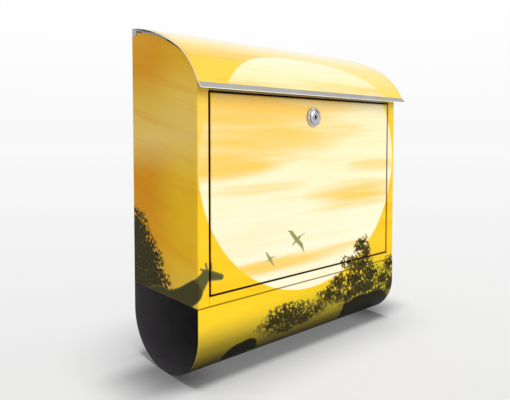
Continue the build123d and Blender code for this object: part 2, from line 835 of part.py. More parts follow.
# ------------------------------------------------------------------ files
pieces = {
    "left_side_panel": left_side_panel,
    "right_side_panel": right_side_panel,
    "back_panel": back_panel,
    "floor_panel": floor_panel,
    "header_rail": header_rail,
    "inlet_plate": inlet_plate,
    "hinge_bracket": hinge_bracket,
    "hinge_block_left": hinge_block_left,
    "hinge_block_right": hinge_block_right,
    "hinge_rivets": hinge_rivets,
    "hood_hinge_rod": hood_hinge_rod,
    "hood": hood,
    "hood_bumpers": hood_bumpers,
    "door_bumpers": door_bumpers,
    "front_door": front_door,
    "door_hinge_pins": door_hinge_pins,
    "door_hinge_washers": door_hinge_washers,
    "door_pin_clips": door_pin_clips,
    "lock_gasket": lock_gasket,
    "lock_housing": lock_housing,
    "lock_nut": lock_nut,
    "lock_core": lock_core,
    "lock_wafers": lock_wafers,
    "lock_cam": lock_cam,
    "lock_cam_washer": lock_cam_washer,
    "lock_cam_screw": lock_cam_screw,
    "newspaper_roll": newspaper_roll,
    "roll_rivets": roll_rivets,
}
for name, piece in pieces.items():
    piece.part.label = name
    export_step(piece.part, f"parts/{name}.step")
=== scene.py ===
"""Looks of the wall letter box: sheet metal shells, their print, the lock, light and camera.

Everything is in metres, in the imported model's frame: +Z up, +Y into the wall, +X to the right
of someone facing the box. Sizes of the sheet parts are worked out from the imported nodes.
"""

import json
import logging
import math
from dataclasses import dataclass, field, replace
from enum import Enum
from functools import partial, reduce
from typing import Callable, Sequence

import bmesh
import bpy
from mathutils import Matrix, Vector


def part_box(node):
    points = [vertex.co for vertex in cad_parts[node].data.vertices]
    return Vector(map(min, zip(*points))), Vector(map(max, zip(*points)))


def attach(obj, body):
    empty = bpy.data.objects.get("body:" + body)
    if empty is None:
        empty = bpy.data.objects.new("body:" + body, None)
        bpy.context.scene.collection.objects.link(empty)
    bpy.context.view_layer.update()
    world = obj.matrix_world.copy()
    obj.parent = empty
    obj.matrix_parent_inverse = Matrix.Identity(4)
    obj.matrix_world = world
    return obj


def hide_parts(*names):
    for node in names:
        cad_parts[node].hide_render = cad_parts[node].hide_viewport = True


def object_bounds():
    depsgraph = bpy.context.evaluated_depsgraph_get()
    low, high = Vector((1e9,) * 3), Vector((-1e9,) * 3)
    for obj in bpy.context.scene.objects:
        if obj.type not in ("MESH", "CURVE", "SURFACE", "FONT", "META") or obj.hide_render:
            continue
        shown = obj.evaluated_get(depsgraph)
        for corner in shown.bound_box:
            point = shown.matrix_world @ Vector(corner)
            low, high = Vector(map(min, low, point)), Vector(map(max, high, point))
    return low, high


LOG = logging.getLogger("letter_box")
MM = 0.001
HAIR = 0.1 * MM
PRINT_MAP = "print_map"

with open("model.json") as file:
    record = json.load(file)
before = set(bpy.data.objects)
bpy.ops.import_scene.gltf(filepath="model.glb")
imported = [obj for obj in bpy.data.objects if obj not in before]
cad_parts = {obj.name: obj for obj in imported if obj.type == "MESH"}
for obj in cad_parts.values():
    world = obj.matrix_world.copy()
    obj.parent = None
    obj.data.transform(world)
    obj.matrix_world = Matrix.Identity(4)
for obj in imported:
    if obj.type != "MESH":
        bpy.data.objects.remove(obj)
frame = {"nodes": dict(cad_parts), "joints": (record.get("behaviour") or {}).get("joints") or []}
cad_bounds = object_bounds()

Pair = tuple[float, float]
Place = tuple[float, float, float]
Screen = tuple[int, int, int]
Socket = bpy.types.NodeSocket
Piece = bpy.types.Object
Material = bpy.types.Material
BMesh = bmesh.types.BMesh


class Slot(Enum):
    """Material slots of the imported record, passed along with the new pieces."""

    PRINT = "printed_steel"
    ZINC = "zinc"
    RUBBER = "buffer_rubber"


def srgb(red: int, green: int, blue: int) -> tuple[float, float, float, float]:
    """Turns a screen colour into the linear colour that a shader takes.

    Args:
        red: Red, from 0 to 255.
        green: Green.
        blue: Blue.

    Returns:
        Linear red, green and blue from 0 to 1, and an alpha of 1.
    """
    parts = [channel / 255 for channel in (red, green, blue)]
    linear = [c / 12.92 if c <= 0.04045 else ((c + 0.055) / 1.055) ** 2.4 for c in parts]
    return (linear[0], linear[1], linear[2], 1.0)


# ---------------------------------------------------------------------------- node writing
@dataclass
class NodeWriter:
    """Writes shader or geometry nodes into one tree and links them.

    Attributes:
        tree: The tree that receives the nodes.
    """

    tree: bpy.types.NodeTree

    def add(self, kind: str, **settings: object) -> bpy.types.Node:
        """Adds a node and sets its plain properties.

        Args:
            kind: The node's type name.
            settings: Property names and values.

        Returns:
            The new node.
        """
        node = self.tree.nodes.new(kind)
        for name, value in settings.items():
            setattr(node, name, value)
        return node

    def feed(self, socket: Socket, value: object) -> None:
        """Links a socket to another socket, or sets its own value.

        Args:
            socket: The input that is fed.
            value: A socket to link, or a plain value.
        """
        if isinstance(value, Socket):
            self.tree.links.new(value, socket)
        else:
            socket.default_value = value

    def math(self, operation: str, *values: object, clamp: bool = False) -> Socket:
        """Adds a Math node.

        Args:
            operation: The node's operation.
            values: Its inputs, in order.
            clamp: Whether the result is held between 0 and 1.

        Returns:
            The result's socket.
        """
        node = self.add("ShaderNodeMath", operation=operation, use_clamp=clamp)
        for socket, value in zip(node.inputs, values):
            self.feed(socket, value)
        return node.outputs[0]

    def vector(self, operation: str, *values: object, **named: object) -> Socket:
        """Adds a Vector Math node.

        Args:
            operation: The node's operation.
            values: Its vector inputs, in order.
            named: Inputs given by name, such as Scale.

        Returns:
            The scalar result for LENGTH, DISTANCE and DOT_PRODUCT, and the vector for others.
        """
        node = self.add("ShaderNodeVectorMath", operation=operation)
        for socket, value in zip(node.inputs, values):
            self.feed(socket, value)
        for name, value in named.items():
            self.feed(node.inputs[name], value)
        scalar = operation in ("LENGTH", "DISTANCE", "DOT_PRODUCT")
        return node.outputs["Value" if scalar else "Vector"]

    def mix(self, amount: object, low: object, high: object) -> Socket:
        """Mixes two colours.

        Args:
            amount: Share of the second colour.
            low: First colour.
            high: Second colour.

        Returns:
            The mixed colour's socket.
        """
        node = self.add("ShaderNodeMix", data_type="RGBA")
        self.feed(node.inputs[0], amount)
        self.feed(node.inputs[6], low)
        self.feed(node.inputs[7], high)
        return node.outputs[2]

    def ramp(self, value: object, stops: Sequence[tuple[float, Sequence[float]]]) -> Socket:
        """Adds a colour ramp.

        Args:
            value: The position on the ramp.
            stops: Positions and colours, in rising order.

        Returns:
            The colour's socket.
        """
        node = self.add("ShaderNodeValToRGB")
        self.feed(node.inputs[0], value)
        elements = node.color_ramp.elements
        while len(elements) < len(stops):
            elements.new(0.5)
        for element, (position, colour) in zip(elements, stops):
            element.position = position
            element.color = colour
        return node.outputs[0]

    def span(self, value: object, low: float, high: float, smooth: bool = True) -> Socket:
        """Maps a value to 0 at low and 1 at high, held in between.

        Args:
            value: The value to map.
            low: Where the result is 0.
            high: Where the result is 1. It may be below low.
            smooth: Whether the change is eased at both ends.

        Returns:
            The result's socket.
        """
        kind = "SMOOTHSTEP" if smooth else "LINEAR"
        node = self.add("ShaderNodeMapRange", interpolation_type=kind)
        flip = low > high
        self.feed(node.inputs["Value"], value)
        node.inputs["From Min"].default_value = min(low, high)
        node.inputs["From Max"].default_value = max(low, high)
        node.inputs["To Min"].default_value = 1.0 if flip else 0.0
        node.inputs["To Max"].default_value = 0.0 if flip else 1.0
        return node.outputs["Result"]

    def split(self, value: object) -> tuple[Socket, Socket, Socket]:
        """Separates a vector.

        Args:
            value: The vector.

        Returns:
            The sockets of its three parts.
        """
        node = self.add("ShaderNodeSeparateXYZ")
        self.feed(node.inputs[0], value)
        return tuple(node.outputs)

    def join(self, x: object, y: object = 0.0) -> Socket:
        """Combines two parts into a flat vector.

        Args:
            x: Its first part.
            y: Its second part.

        Returns:
            The vector's socket.
        """
        node = self.add("ShaderNodeCombineXYZ")
        self.feed(node.inputs[0], x)
        self.feed(node.inputs[1], y)
        return node.outputs[0]

    def group(self, tree: bpy.types.NodeTree, **named: object) -> Socket:
        """Adds a shader node group.

        Args:
            tree: The group's tree.
            named: Its inputs by name.

        Returns:
            The group's first output.
        """
        node = self.add("ShaderNodeGroup", node_tree=tree)
        for name, value in named.items():
            self.feed(node.inputs[name], value)
        return node.outputs[0]

    def noise(self, place: object, scale: float, detail: float, rough: float = 0.5) -> Socket:
        """Adds a noise texture and returns its value.

        Args:
            place: The coordinates.
            scale: Cells per unit.
            detail: Number of finer layers.
            rough: Strength of the finer layers.

        Returns:
            The noise value's socket.
        """
        node = self.add("ShaderNodeTexNoise")
        self.feed(node.inputs["Vector"], place)
        node.inputs["Scale"].default_value = scale
        node.inputs["Detail"].default_value = detail
        node.inputs["Roughness"].default_value = rough
        return node.outputs["Fac"]


def shader_group(name: str, inputs: dict[str, str], output: tuple[str, str]) -> bpy.types.NodeTree:
    """Makes an empty shader node group.

    Args:
        name: The group's name.
        inputs: Input names and socket types.
        output: The output's name and socket type.

    Returns:
        The new group, with its input and output nodes named "in" and "out".
    """
    tree = bpy.data.node_groups.new(name, "ShaderNodeTree")
    for label, kind in inputs.items():
        tree.interface.new_socket(label, in_out="INPUT", socket_type=kind)
    tree.interface.new_socket(output[0], in_out="OUTPUT", socket_type=output[1])
    tree.nodes.new("NodeGroupInput").name = "in"
    tree.nodes.new("NodeGroupOutput").name = "out"
    return tree


# ---------------------------------------------------------------------------- the print's shapes
# All in millimetres on the print: an oval is its centre across and up, its half width and its
# half height; a patch of cloud adds its strength; a stroke is its start, its end and its radius
# at both.
Oval = tuple[float, float, float, float]
Patch = tuple[float, float, float, float, float]
Stroke = tuple[float, float, float, float, float, float]


@dataclass(frozen=True)
class Shadow:
    """A group of shapes that share one look.

    Attributes:
        ovals: Its rounded masses.
        strokes: Its tapering trunks, wings, necks and legs.
        dark: Screen colour of its heart.
        light: Screen colour of its haze and gaps.
        softness: Half the width of its blurred edge, in millimetres.
        leafiness: How far the edge wanders, in millimetres, or 0 for a plain edge.
        gap_depth: How far in from the edge gaps between leaves reach, in millimetres.
    """

    ovals: tuple[Oval, ...]
    strokes: tuple[Stroke, ...]
    dark: Screen
    light: Screen
    softness: float
    leafiness: float = 0.0
    gap_depth: float = 0.0


class Sky(Enum):
    """Colour stops of the sky, as (height in millimetres, red, green, blue)."""

    # The front's stops pale towards white near the top, a painted highlight on the hood's crown, and
    # darken near the bottom, partly the picture's ground and partly painted shade under the roll.
    FRONT_LEFT = (
        (-285, 108, 95, 28), (-250, 110, 97, 28), (-235, 116, 102, 28), (-220, 146, 126, 31),
        (-205, 203, 174, 46), (-195, 236, 196, 38), (-185, 250, 206, 36), (-160, 254, 204, 33),
        (-40, 254, 202, 45), (40, 254, 214, 96), (92, 254, 210, 78), (120, 253, 207, 73),
        (135, 253, 214, 110), (150, 254, 221, 140), (165, 253, 229, 165), (180, 254, 239, 192),
        (200, 254, 246, 216), (235, 254, 252, 238),
    )
    FRONT_RIGHT = (
        (-285, 92, 78, 12), (-235, 108, 94, 12), (-215, 165, 152, 30), (-190, 214, 190, 34),
        (-175, 246, 201, 38), (-60, 250, 203, 40), (50, 251, 207, 52), (92, 254, 217, 104),
        (120, 255, 226, 145), (150, 254, 233, 165), (170, 254, 239, 190), (190, 254, 245, 214),
        (235, 254, 252, 238),
    )
    SIDE_REAR = (
        (-170, 226, 170, 40), (-120, 238, 168, 20), (-60, 230, 155, 12), (-20, 230, 156, 18),
        (25, 244, 210, 116), (70, 240, 196, 76), (120, 232, 160, 30), (165, 244, 182, 56),
    )
    SIDE_FRONT = (
        (-170, 246, 208, 76), (-110, 246, 192, 26), (-60, 244, 196, 26), (-20, 246, 200, 46),
        (30, 246, 212, 114), (75, 248, 210, 92), (120, 244, 186, 42), (165, 244, 190, 62),
    )


CLOUDS: tuple[Patch, ...] = (
    (-120, 62, 190, 40, 0.95), (-10, 74, 150, 18, 0.7), (-95, 26, 165, 34, 0.85), (60, 36, 90, 12, 0.5),
    (-150, -8, 100, 20, 0.95), (-105, -38, 110, 9, 0.6), (100, -54, 120, 18, 0.8),
    (90, -74, 110, 9, 0.5), (140, -17, 80, 12, 0.55), (-60, -138, 150, 12, 0.8),
    (60, -132, 110, 7, 0.6), (60, 92, 190, 14, 0.6),
)
THICKET = Shadow(
    ovals=(
        (-345, -126, 58, 58), (-322, -150, 60, 58), (-290, -166, 46, 34), (-262, -176, 42, 20),
        (341, -150, 88, 80), (262, -168, 54, 30), (210, -190, 34, 26),
    ),
    strokes=(),
    dark=(52, 47, 14),
    light=(120, 102, 30),
    softness=0.9,
    leafiness=10.0,
    gap_depth=45.0,
)
GROVE = Shadow(
    ovals=(
        (-46, -208, 46, 15), (-70, -216, 32, 15), (-18, -220, 38, 16), (-48, -228, 42, 14),
        (-40, -218, 30, 12), (12, -214, 22, 13), (34, -198, 24, 14), (56, -184, 20, 14),
        (54, -204, 18, 14), (108, -138, 20, 14), (119, -150, 16, 14), (84, -158, 22, 10),
        (106, -168, 32, 15), (92, -186, 32, 15), (132, -184, 28, 15), (112, -202, 46, 16),
        (80, -208, 24, 16), (180, -178, 18, 14), (164, -196, 22, 14), (186, -209, 18, 20),
        (150, -214, 30, 10),
    ),
    strokes=(
        (-42, -212, -34, -242, 1.6, 2.6), (-34, -242, -32, -262, 2.6, 3.4),
        (-62, -222, -36, -244, 1.2, 1.8), (-18, -222, -30, -244, 1.2, 1.8),
        (-22, -238, -14, -262, 1.8, 2.6), (56, -186, 62, -216, 1.6, 2.8),
        (62, -216, 72, -250, 2.8, 4.4), (36, -198, 60, -220, 1.3, 1.8),
        (112, -140, 109, -176, 1.6, 2.4), (109, -176, 111, -216, 2.4, 3.6),
        (84, -158, 108, -182, 1.3, 1.8), (130, -182, 111, -204, 1.4, 2.0),
        (168, -196, 172, -228, 1.6, 2.6),
    ),
    dark=(46, 42, 12),
    light=(118, 104, 40),
    softness=0.8,
    leafiness=7.0,
    gap_depth=16.0,
)
HERD = Shadow(
    ovals=(
        (108, -234, 38, 20), (142, -240, 44, 26), (165, -262, 36, 28), (-124, -246, 22, 19),
        (-112, -239, 18, 14), (-126, -266, 20, 30),
    ),
    strokes=(
        (76, -224, 84, -262, 6, 5), (180, -270, 190, -310, 14, 10), (-104, -238, -91, -250, 8, 4),
        (-91, -250, -91, -264, 3.6, 2.4),
    ),
    dark=(24, 23, 3),
    light=(44, 40, 12),
    softness=0.7,
)
GRAZER_HEAD = Shadow(
    ovals=(),
    strokes=(
        (-198, -152, -179, -133, 12, 7.5), (-179, -132, -157, -138, 7.4, 3.8),
        (-177, -127, -179, -119, 1.3, 1.6), (-171, -126, -172, -119, 1.3, 1.6),
        (-179, -128, -186, -124, 2.6, 1.2),
    ),
    dark=(90, 88, 46),
    light=(124, 120, 68),
    softness=1.0,
)
GRAZER = Shadow(
    ovals=(
        (-265, -184, 48, 24),
    ),
    strokes=(
        (-285, -184, -222, -166, 9, 15), (-222, -166, -196, -150, 15, 13),
    ),
    dark=(70, 66, 30),
    light=(100, 94, 48),
    softness=1.0,
)
BIRDS = Shadow(
    ovals=(),
    strokes=(
        (-47, -97, -40, -100, 0.7, 2.6), (-41, -100, -31, -111, 2.8, 3.4),
        (-31, -111, -22, -119, 3.4, 3.0), (-22, -119, -17, -129, 3.0, 0.6),
        (-38.5, -116.5, -26, -108, 1.2, 2.4), (-26, -108, -15, -103, 1.1, 0.4),
        (-86, -120, -79.5, -129, 1.0, 2.6), (-79.5, -129, -72, -139.5, 2.6, 0.6),
        (-83.5, -131.5, -76, -128, 0.7, 1.5), (-76, -128, -69, -126.5, 0.8, 0.3),
    ),
    dark=(146, 146, 92),
    light=(168, 166, 112),
    softness=0.5,
)
SHADOWS_BACK_TO_FRONT = (THICKET, GROVE, HERD, GRAZER_HEAD, GRAZER, BIRDS)


@dataclass(frozen=True)
class Sun:
    """A tall oval disc that is a little flatter above than below, in millimetres.

    Attributes:
        across: Its centre across.
        height: Its centre up.
        half_width: How far it reaches to both sides.
        above: How far it reaches up.
        below: How far it reaches down.
        blur: Half the width of its soft edge, as a share of its size.
        low_colour: Screen colour of its lower part.
        high_colour: Screen colour of its upper part.
        highlight_colour: Screen colour of the painted highlight that it fades to over the hood.
    """

    across: float = -2.0
    height: float = -6.0
    half_width: float = 187.0
    above: float = 162.0
    below: float = 174.0
    blur: float = 0.004
    low_colour: Screen = (253, 243, 210)
    high_colour: Screen = (253, 240, 190)
    highlight_colour: Screen = (253, 247, 222)


@dataclass
class SunsetPrint:
    """The picture on the sheets: an evening sky, a low sun, clouds, trees and animals.

    It is one node group that turns a place on the print, in metres across and up, into a
    colour. The front runs from one side edge to the other and goes on round both sides.
    Sizes are in millimetres.

    Attributes:
        low: Height at which the sky's colours begin.
        high: Height at which they end.
        side_edge: Where the front turns into the side.
        side_far: The side's rear edge.
        lean: How much the streaks on a side fall towards the front.
        streak_colours: Screen colours of light and deep streaks.
        streak_strength: How much each of them shows.
        cloud_colour: Screen colour of the clouds before the sun.
        cloud_highlight_fade: Heights between which the clouds of the disc give way to its top colour, a
            painted highlight over the hood.
        calm_below: Heights at which the streaks vanish and are full, near the ground.
        calm_under_highlight: The same near the top, where the streaks give way to the painted highlight.
        glade: Light behind the trees on the right.
        glade_colour: Its screen colour.
        glade_strength: How much it shows.
        seam: Height of the fold between cabinet and roll.
        seam_shade_colour: Screen colour of the painted shade in the groove at that fold.
        seam_shade_width: Distances from the fold where that painted shade ends and is full.
        seam_shade_strength: How much it shows.
        underside_shade_colour: Screen colour of the painted shade on the roll's underside, below the
            trees.
        underside_shade_fade: Heights at which that painted shade begins and is full.
        underside_shade_strength: How much that painted shade hides what lies there.
    """

    low: float = -320.0
    high: float = 240.0
    side_edge: float = 190.0
    side_far: float = 341.0
    lean: float = 0.25
    streak_colours: tuple[Screen, ...] = ((254, 220, 80), (232, 140, 4))
    streak_strength: Pair = (0.25, 0.26)
    cloud_colour: Screen = (254, 206, 100)
    cloud_highlight_fade: Pair = (95, 160)
    calm_below: Pair = (-225, -180)
    calm_under_highlight: Pair = (175, 120)
    glade: Oval = (150, -196, 55, 40)
    glade_colour: Screen = (196, 190, 30)
    glade_strength: float = 0.75
    seam: float = -170.0
    seam_shade_colour: Screen = (96, 82, 24)
    seam_shade_width: Pair = (1.3, 0.4)
    seam_shade_strength: float = 0.7
    underside_shade_colour: Screen = (10, 9, 4)
    underside_shade_fade: Pair = (-222, -264)
    underside_shade_strength: float = 0.92

    def __post_init__(self) -> None:
        """Builds the helper groups and the print's own group."""
        self.stroke_group = self._stroke_group()
        self.oval_group = self._oval_group()
        self.group = self._print_group()

    @staticmethod
    def _stroke_group() -> bpy.types.NodeTree:
        """Makes the group that measures how far a place is from a tapering stroke.

        Returns:
            The group, whose output is below zero inside the stroke.
        """
        kinds = dict.fromkeys(("Place", "Start", "End"), "NodeSocketVector")
        kinds |= dict.fromkeys(("Start Radius", "End Radius"), "NodeSocketFloat")
        tree = shader_group("print_stroke", kinds, ("Distance", "NodeSocketFloat"))
        w = NodeWriter(tree)
        given = tree.nodes["in"].outputs
        along = w.vector("SUBTRACT", given["End"], given["Start"])
        out = w.vector("SUBTRACT", given["Place"], given["Start"])
        share = w.math("DIVIDE", w.vector("DOT_PRODUCT", out, along),
                       w.vector("DOT_PRODUCT", along, along), clamp=True)
        foot = w.vector("SCALE", along, Scale=share)
        taper = w.math("SUBTRACT", given["End Radius"], given["Start Radius"])
        radius = w.math("MULTIPLY_ADD", share, taper, given["Start Radius"])
        w.feed(tree.nodes["out"].inputs[0], w.math("SUBTRACT", w.vector("DISTANCE", out, foot), radius))
        return tree

    @staticmethod
    def _oval_group() -> bpy.types.NodeTree:
        """Makes the group that measures roughly how far a place is from an oval.

        Returns:
            The group, whose output is below zero inside the oval.
        """
        kinds = dict.fromkeys(("Place", "Centre", "Reach"), "NodeSocketVector")
        kinds |= {"Least": "NodeSocketFloat"}
        tree = shader_group("print_oval", kinds, ("Distance", "NodeSocketFloat"))
        w = NodeWriter(tree)
        given = tree.nodes["in"].outputs
        out = w.vector("DIVIDE", w.vector("SUBTRACT", given["Place"], given["Centre"]), given["Reach"])
        rim = w.math("SUBTRACT", w.vector("LENGTH", out), 1.0)
        w.feed(tree.nodes["out"].inputs[0], w.math("MULTIPLY", rim, given["Least"]))
        return tree

    def _oval(self, w: NodeWriter, place: Socket, oval: Oval, least: float = 1.0) -> Socket:
        """Measures how far a place is from an oval, below zero inside.

        Args:
            w: Writer of the print's tree.
            place: The place in millimetres.
            oval: The oval.
            least: What its half size counts as.

        Returns:
            The distance's socket.
        """
        across, up, half_width, half_height = oval
        return w.group(self.oval_group, Place=place, Centre=(across, up, 0),
                       Reach=(half_width, half_height, 1), Least=least)

    def _distance(self, w: NodeWriter, place: Socket, shadow: Shadow) -> Socket:
        """Measures how far a place is from a group of shapes, below zero inside.

        Args:
            w: Writer of the print's tree.
            place: The place in millimetres.
            shadow: The shapes.

        Returns:
            The distance's socket.
        """
        found = [self._oval(w, place, oval, min(oval[2:])) for oval in shadow.ovals]
        for x, y, end_x, end_y, radius, end_radius in shadow.strokes:
            ends = {"Start": (x, y, 0), "End": (end_x, end_y, 0)}
            radii = {"Start Radius": radius, "End Radius": end_radius}
            found.append(w.group(self.stroke_group, Place=place, **ends, **radii))
        return reduce(partial(w.math, "MINIMUM"), found)

    def _sky(self, w: NodeWriter, height: Socket, stops: Sky) -> Socket:
        """Colours the sky by height.

        Args:
            w: Writer of the print's tree.
            height: Height on the print, in millimetres.
            stops: Which part of the sky.

        Returns:
            The colour's socket.
        """
        share = w.span(height, self.low, self.high, smooth=False)
        reach = self.high - self.low
        return w.ramp(share, [((up - self.low) / reach, srgb(*colour)) for up, *colour in stops.value])

    def _streaks(self, w: NodeWriter, place: Socket) -> Socket:
        """Draws noise out sideways into cloud streaks, which slower noise bends.

        Args:
            w: Writer of the print's tree.
            place: The place in millimetres.

        Returns:
            The streaks' strength, about 0.3 to 0.7.
        """
        across, height, _ = w.split(place)
        slow = w.noise(w.vector("MULTIPLY", place, (0.1, 1.0, 1.0)), 0.02, 2.0)
        wander = w.math("MULTIPLY_ADD", slow, 14.0, -7.0)
        past_edge = w.math("SUBTRACT", w.math("ABSOLUTE", across), self.side_edge)
        beyond = w.math("MAXIMUM", past_edge, 0.0)
        level = w.math("MULTIPLY_ADD", beyond, -self.lean, w.math("ADD", height, wander))
        bent = w.join(w.math("MULTIPLY", across, 0.06), level)
        broad, fine = w.noise(bent, 0.06, 4.0, 0.5), w.noise(bent, 0.2, 3.0, 0.55)
        return w.math("MULTIPLY_ADD", fine, 0.3, w.math("MULTIPLY", broad, 0.7))

    def _evening(self, w: NodeWriter, across: Socket, height: Socket, streaks: Socket) -> Socket:
        """Colours the whole sky, with its streaks.

        Args:
            w: Writer of the print's tree.
            across: Place across, in millimetres.
            height: Place up.
            streaks: Strength of the streaks.

        Returns:
            The colour's socket.
        """
        outwards = w.math("ABSOLUTE", across)
        front = w.mix(w.span(across, -150, 150), self._sky(w, height, Sky.FRONT_LEFT),
                      self._sky(w, height, Sky.FRONT_RIGHT))
        depth = w.span(outwards, self.side_edge, self.side_far, smooth=False)
        side = w.mix(w.span(depth, 0.15, 0.75), self._sky(w, height, Sky.SIDE_FRONT),
                     self._sky(w, height, Sky.SIDE_REAR))
        sky = w.mix(w.span(outwards, self.side_edge - 4, self.side_edge + 12), front, side)
        calm = w.math("MULTIPLY", w.span(height, *self.calm_below), w.span(height, *self.calm_under_highlight))
        for colour, strength, full in zip(self.streak_colours, self.streak_strength, (0.7, 0.34)):
            shows = w.math("MULTIPLY", w.math("MULTIPLY", w.span(streaks, 0.5, full), strength), calm)
            sky = w.mix(shows, sky, srgb(*colour))
        return sky

    def _disc(self, w: NodeWriter, place: Socket, streaks: Socket, sun: Sun) -> tuple[Socket, Socket]:
        """Draws the sun behind its clouds.

        Args:
            w: Writer of the print's tree.
            place: The place in millimetres.
            streaks: Strength of the streaks, which fray the clouds.
            sun: The sun's sizes and colours.

        Returns:
            The disc's share and its colour.
        """
        across, height, _ = w.split(place)
        rise = w.math("SUBTRACT", height, sun.height)
        up = w.math("DIVIDE", w.math("MAXIMUM", rise, 0.0), sun.above)
        down = w.math("DIVIDE", w.math("MINIMUM", rise, 0.0), sun.below)
        aside = w.math("DIVIDE", w.math("SUBTRACT", across, sun.across), sun.half_width)
        edge = w.vector("LENGTH", w.join(aside, w.math("ADD", up, down)))
        share = w.span(edge, 1 + sun.blur, 1 - sun.blur)
        disc = w.mix(w.span(height, -140, 90), srgb(*sun.low_colour), srgb(*sun.high_colour))
        parts = [w.math("MULTIPLY", w.span(self._oval(w, place, patch[:4]), 0.35, -0.75), patch[4])
                 for patch in CLOUDS]
        cloud = reduce(partial(w.math, "MAXIMUM"), parts)
        frayed = w.math("MULTIPLY_ADD", streaks, 1.9, w.math("SUBTRACT", cloud, 0.95))
        thick = w.math("MULTIPLY", w.span(frayed, -0.1, 1.05), w.span(cloud, 0.0, 0.3))
        thin = w.math("MULTIPLY", w.span(streaks, 0.46, 0.66), 0.2)
        disc = w.mix(w.math("MAXIMUM", thick, thin), disc, srgb(*self.cloud_colour))
        # The disc pales towards a painted highlight over the hood's crown.
        top = w.math("MULTIPLY", w.span(height, *self.cloud_highlight_fade), 0.7)
        return share, w.mix(top, disc, srgb(*sun.highlight_colour))

    def _figures(self, w: NodeWriter, place: Socket, picture: Socket) -> Socket:
        """Lays trees, animals and birds over the sky, from back to front.

        Args:
            w: Writer of the print's tree.
            place: The place in millimetres.
            picture: What lies behind.

        Returns:
            The colour's socket.
        """
        leaves, gaps = w.noise(place, 0.26, 4.0, 0.7), w.noise(place, 0.2, 3.0, 0.6)
        swirl = w.add("ShaderNodeTexNoise")
        w.feed(swirl.inputs["Vector"], place)
        w.feed(swirl.inputs["Scale"], 0.07)
        w.feed(swirl.inputs["Detail"], 3.0)
        sway = w.vector("SUBTRACT", swirl.outputs["Color"], (0.5, 0.5, 0.5))
        swayed = w.vector("ADD", place, w.vector("MULTIPLY", sway, (20.0, 20.0, 0.0)))
        for shadow in SHADOWS_BACK_TO_FRONT:
            leafy = shadow.leafiness
            edge = self._distance(w, swayed if leafy else place, shadow)
            if leafy:
                ragged = w.math("MULTIPLY_ADD", leaves, 2.4 * leafy, -1.2 * leafy)
                near_edge = w.span(edge, -shadow.gap_depth, -3)
                opened = w.math("MULTIPLY", w.span(gaps, 0.52, 0.62), near_edge)
                holes = w.math("MULTIPLY", opened, 2.2 * leafy)
                edge = w.math("ADD", w.math("ADD", edge, ragged), holes)
            heart = w.span(edge, 0.0, -9.0 if leafy else -3.0)
            tone = w.mix(heart, srgb(*shadow.light), srgb(*shadow.dark))
            if leafy:
                flecks = w.math("MULTIPLY", w.span(leaves, 0.52, 0.64), 0.6)
                tone = w.mix(flecks, tone, srgb(*shadow.light))
            picture = w.mix(w.span(edge, shadow.softness, -shadow.softness), picture, tone)
        return picture

    def _print_group(self) -> bpy.types.NodeTree:
        """Makes the print's own group.

        Returns:
            The group, which turns a place in metres into a colour.
        """
        tree = shader_group("sunset_print", {"Place": "NodeSocketVector"}, ("Color", "NodeSocketColor"))
        w = NodeWriter(tree)
        place = w.vector("SCALE", tree.nodes["in"].outputs["Place"], Scale=1 / MM)
        across, height, _ = w.split(place)
        streaks = self._streaks(w, place)
        disc_share, disc = self._disc(w, place, streaks, Sun())
        picture = w.mix(disc_share, self._evening(w, across, height, streaks), disc)
        glint = w.span(self._oval(w, place, self.glade), 0.2, -0.8)
        glint = w.math("MULTIPLY", glint, self.glade_strength)
        picture = self._figures(w, place, w.mix(glint, picture, srgb(*self.glade_colour)))
        # Painted shade along the groove of the fold.
        fold = w.span(w.math("ABSOLUTE", w.math("SUBTRACT", height, self.seam)), *self.seam_shade_width)
        picture = w.mix(w.math("MULTIPLY", fold, self.seam_shade_strength), picture, srgb(*self.seam_shade_colour))
        # Painted shade darkens the picture towards the roll's underside.
        ground = w.math("MULTIPLY", w.span(height, *self.underside_shade_fade), self.underside_shade_strength)
        w.feed(tree.nodes["out"].inputs[0], w.mix(ground, picture, srgb(*self.underside_shade_colour)))
        return tree


# ---------------------------------------------------------------------------- finishes
def new_material(name: str) -> tuple[Material, NodeWriter, bpy.types.Node]:
    """Makes a node material with one Principled shader.

    Args:
        name: The material's name.

    Returns:
        The material, a writer for its tree, and its shader.
    """
    material = bpy.data.materials.new(name)
    material.use_nodes = True
    tree = material.node_tree
    return material, NodeWriter(tree), tree.nodes["Principled BSDF"]


def object_place(w: NodeWriter) -> Socket:
    """Gives a surface's own place in metres, from Object coordinates."""
    return w.add("ShaderNodeTexCoord").outputs["Object"]


def bump(w: NodeWriter, height: object, strength: float, distance: float) -> Socket:
    """Turns a height pattern into a bumped normal.

    Args:
        w: Writer of the material's tree.
        height: The pattern.
        strength: How strongly it shows.
        distance: Its depth in metres.

    Returns:
        The normal's socket.
    """
    node = w.add("ShaderNodeBump")
    node.inputs["Strength"].default_value = strength
    node.inputs["Distance"].default_value = distance
    w.feed(node.inputs["Height"], height)
    return node.outputs["Normal"]


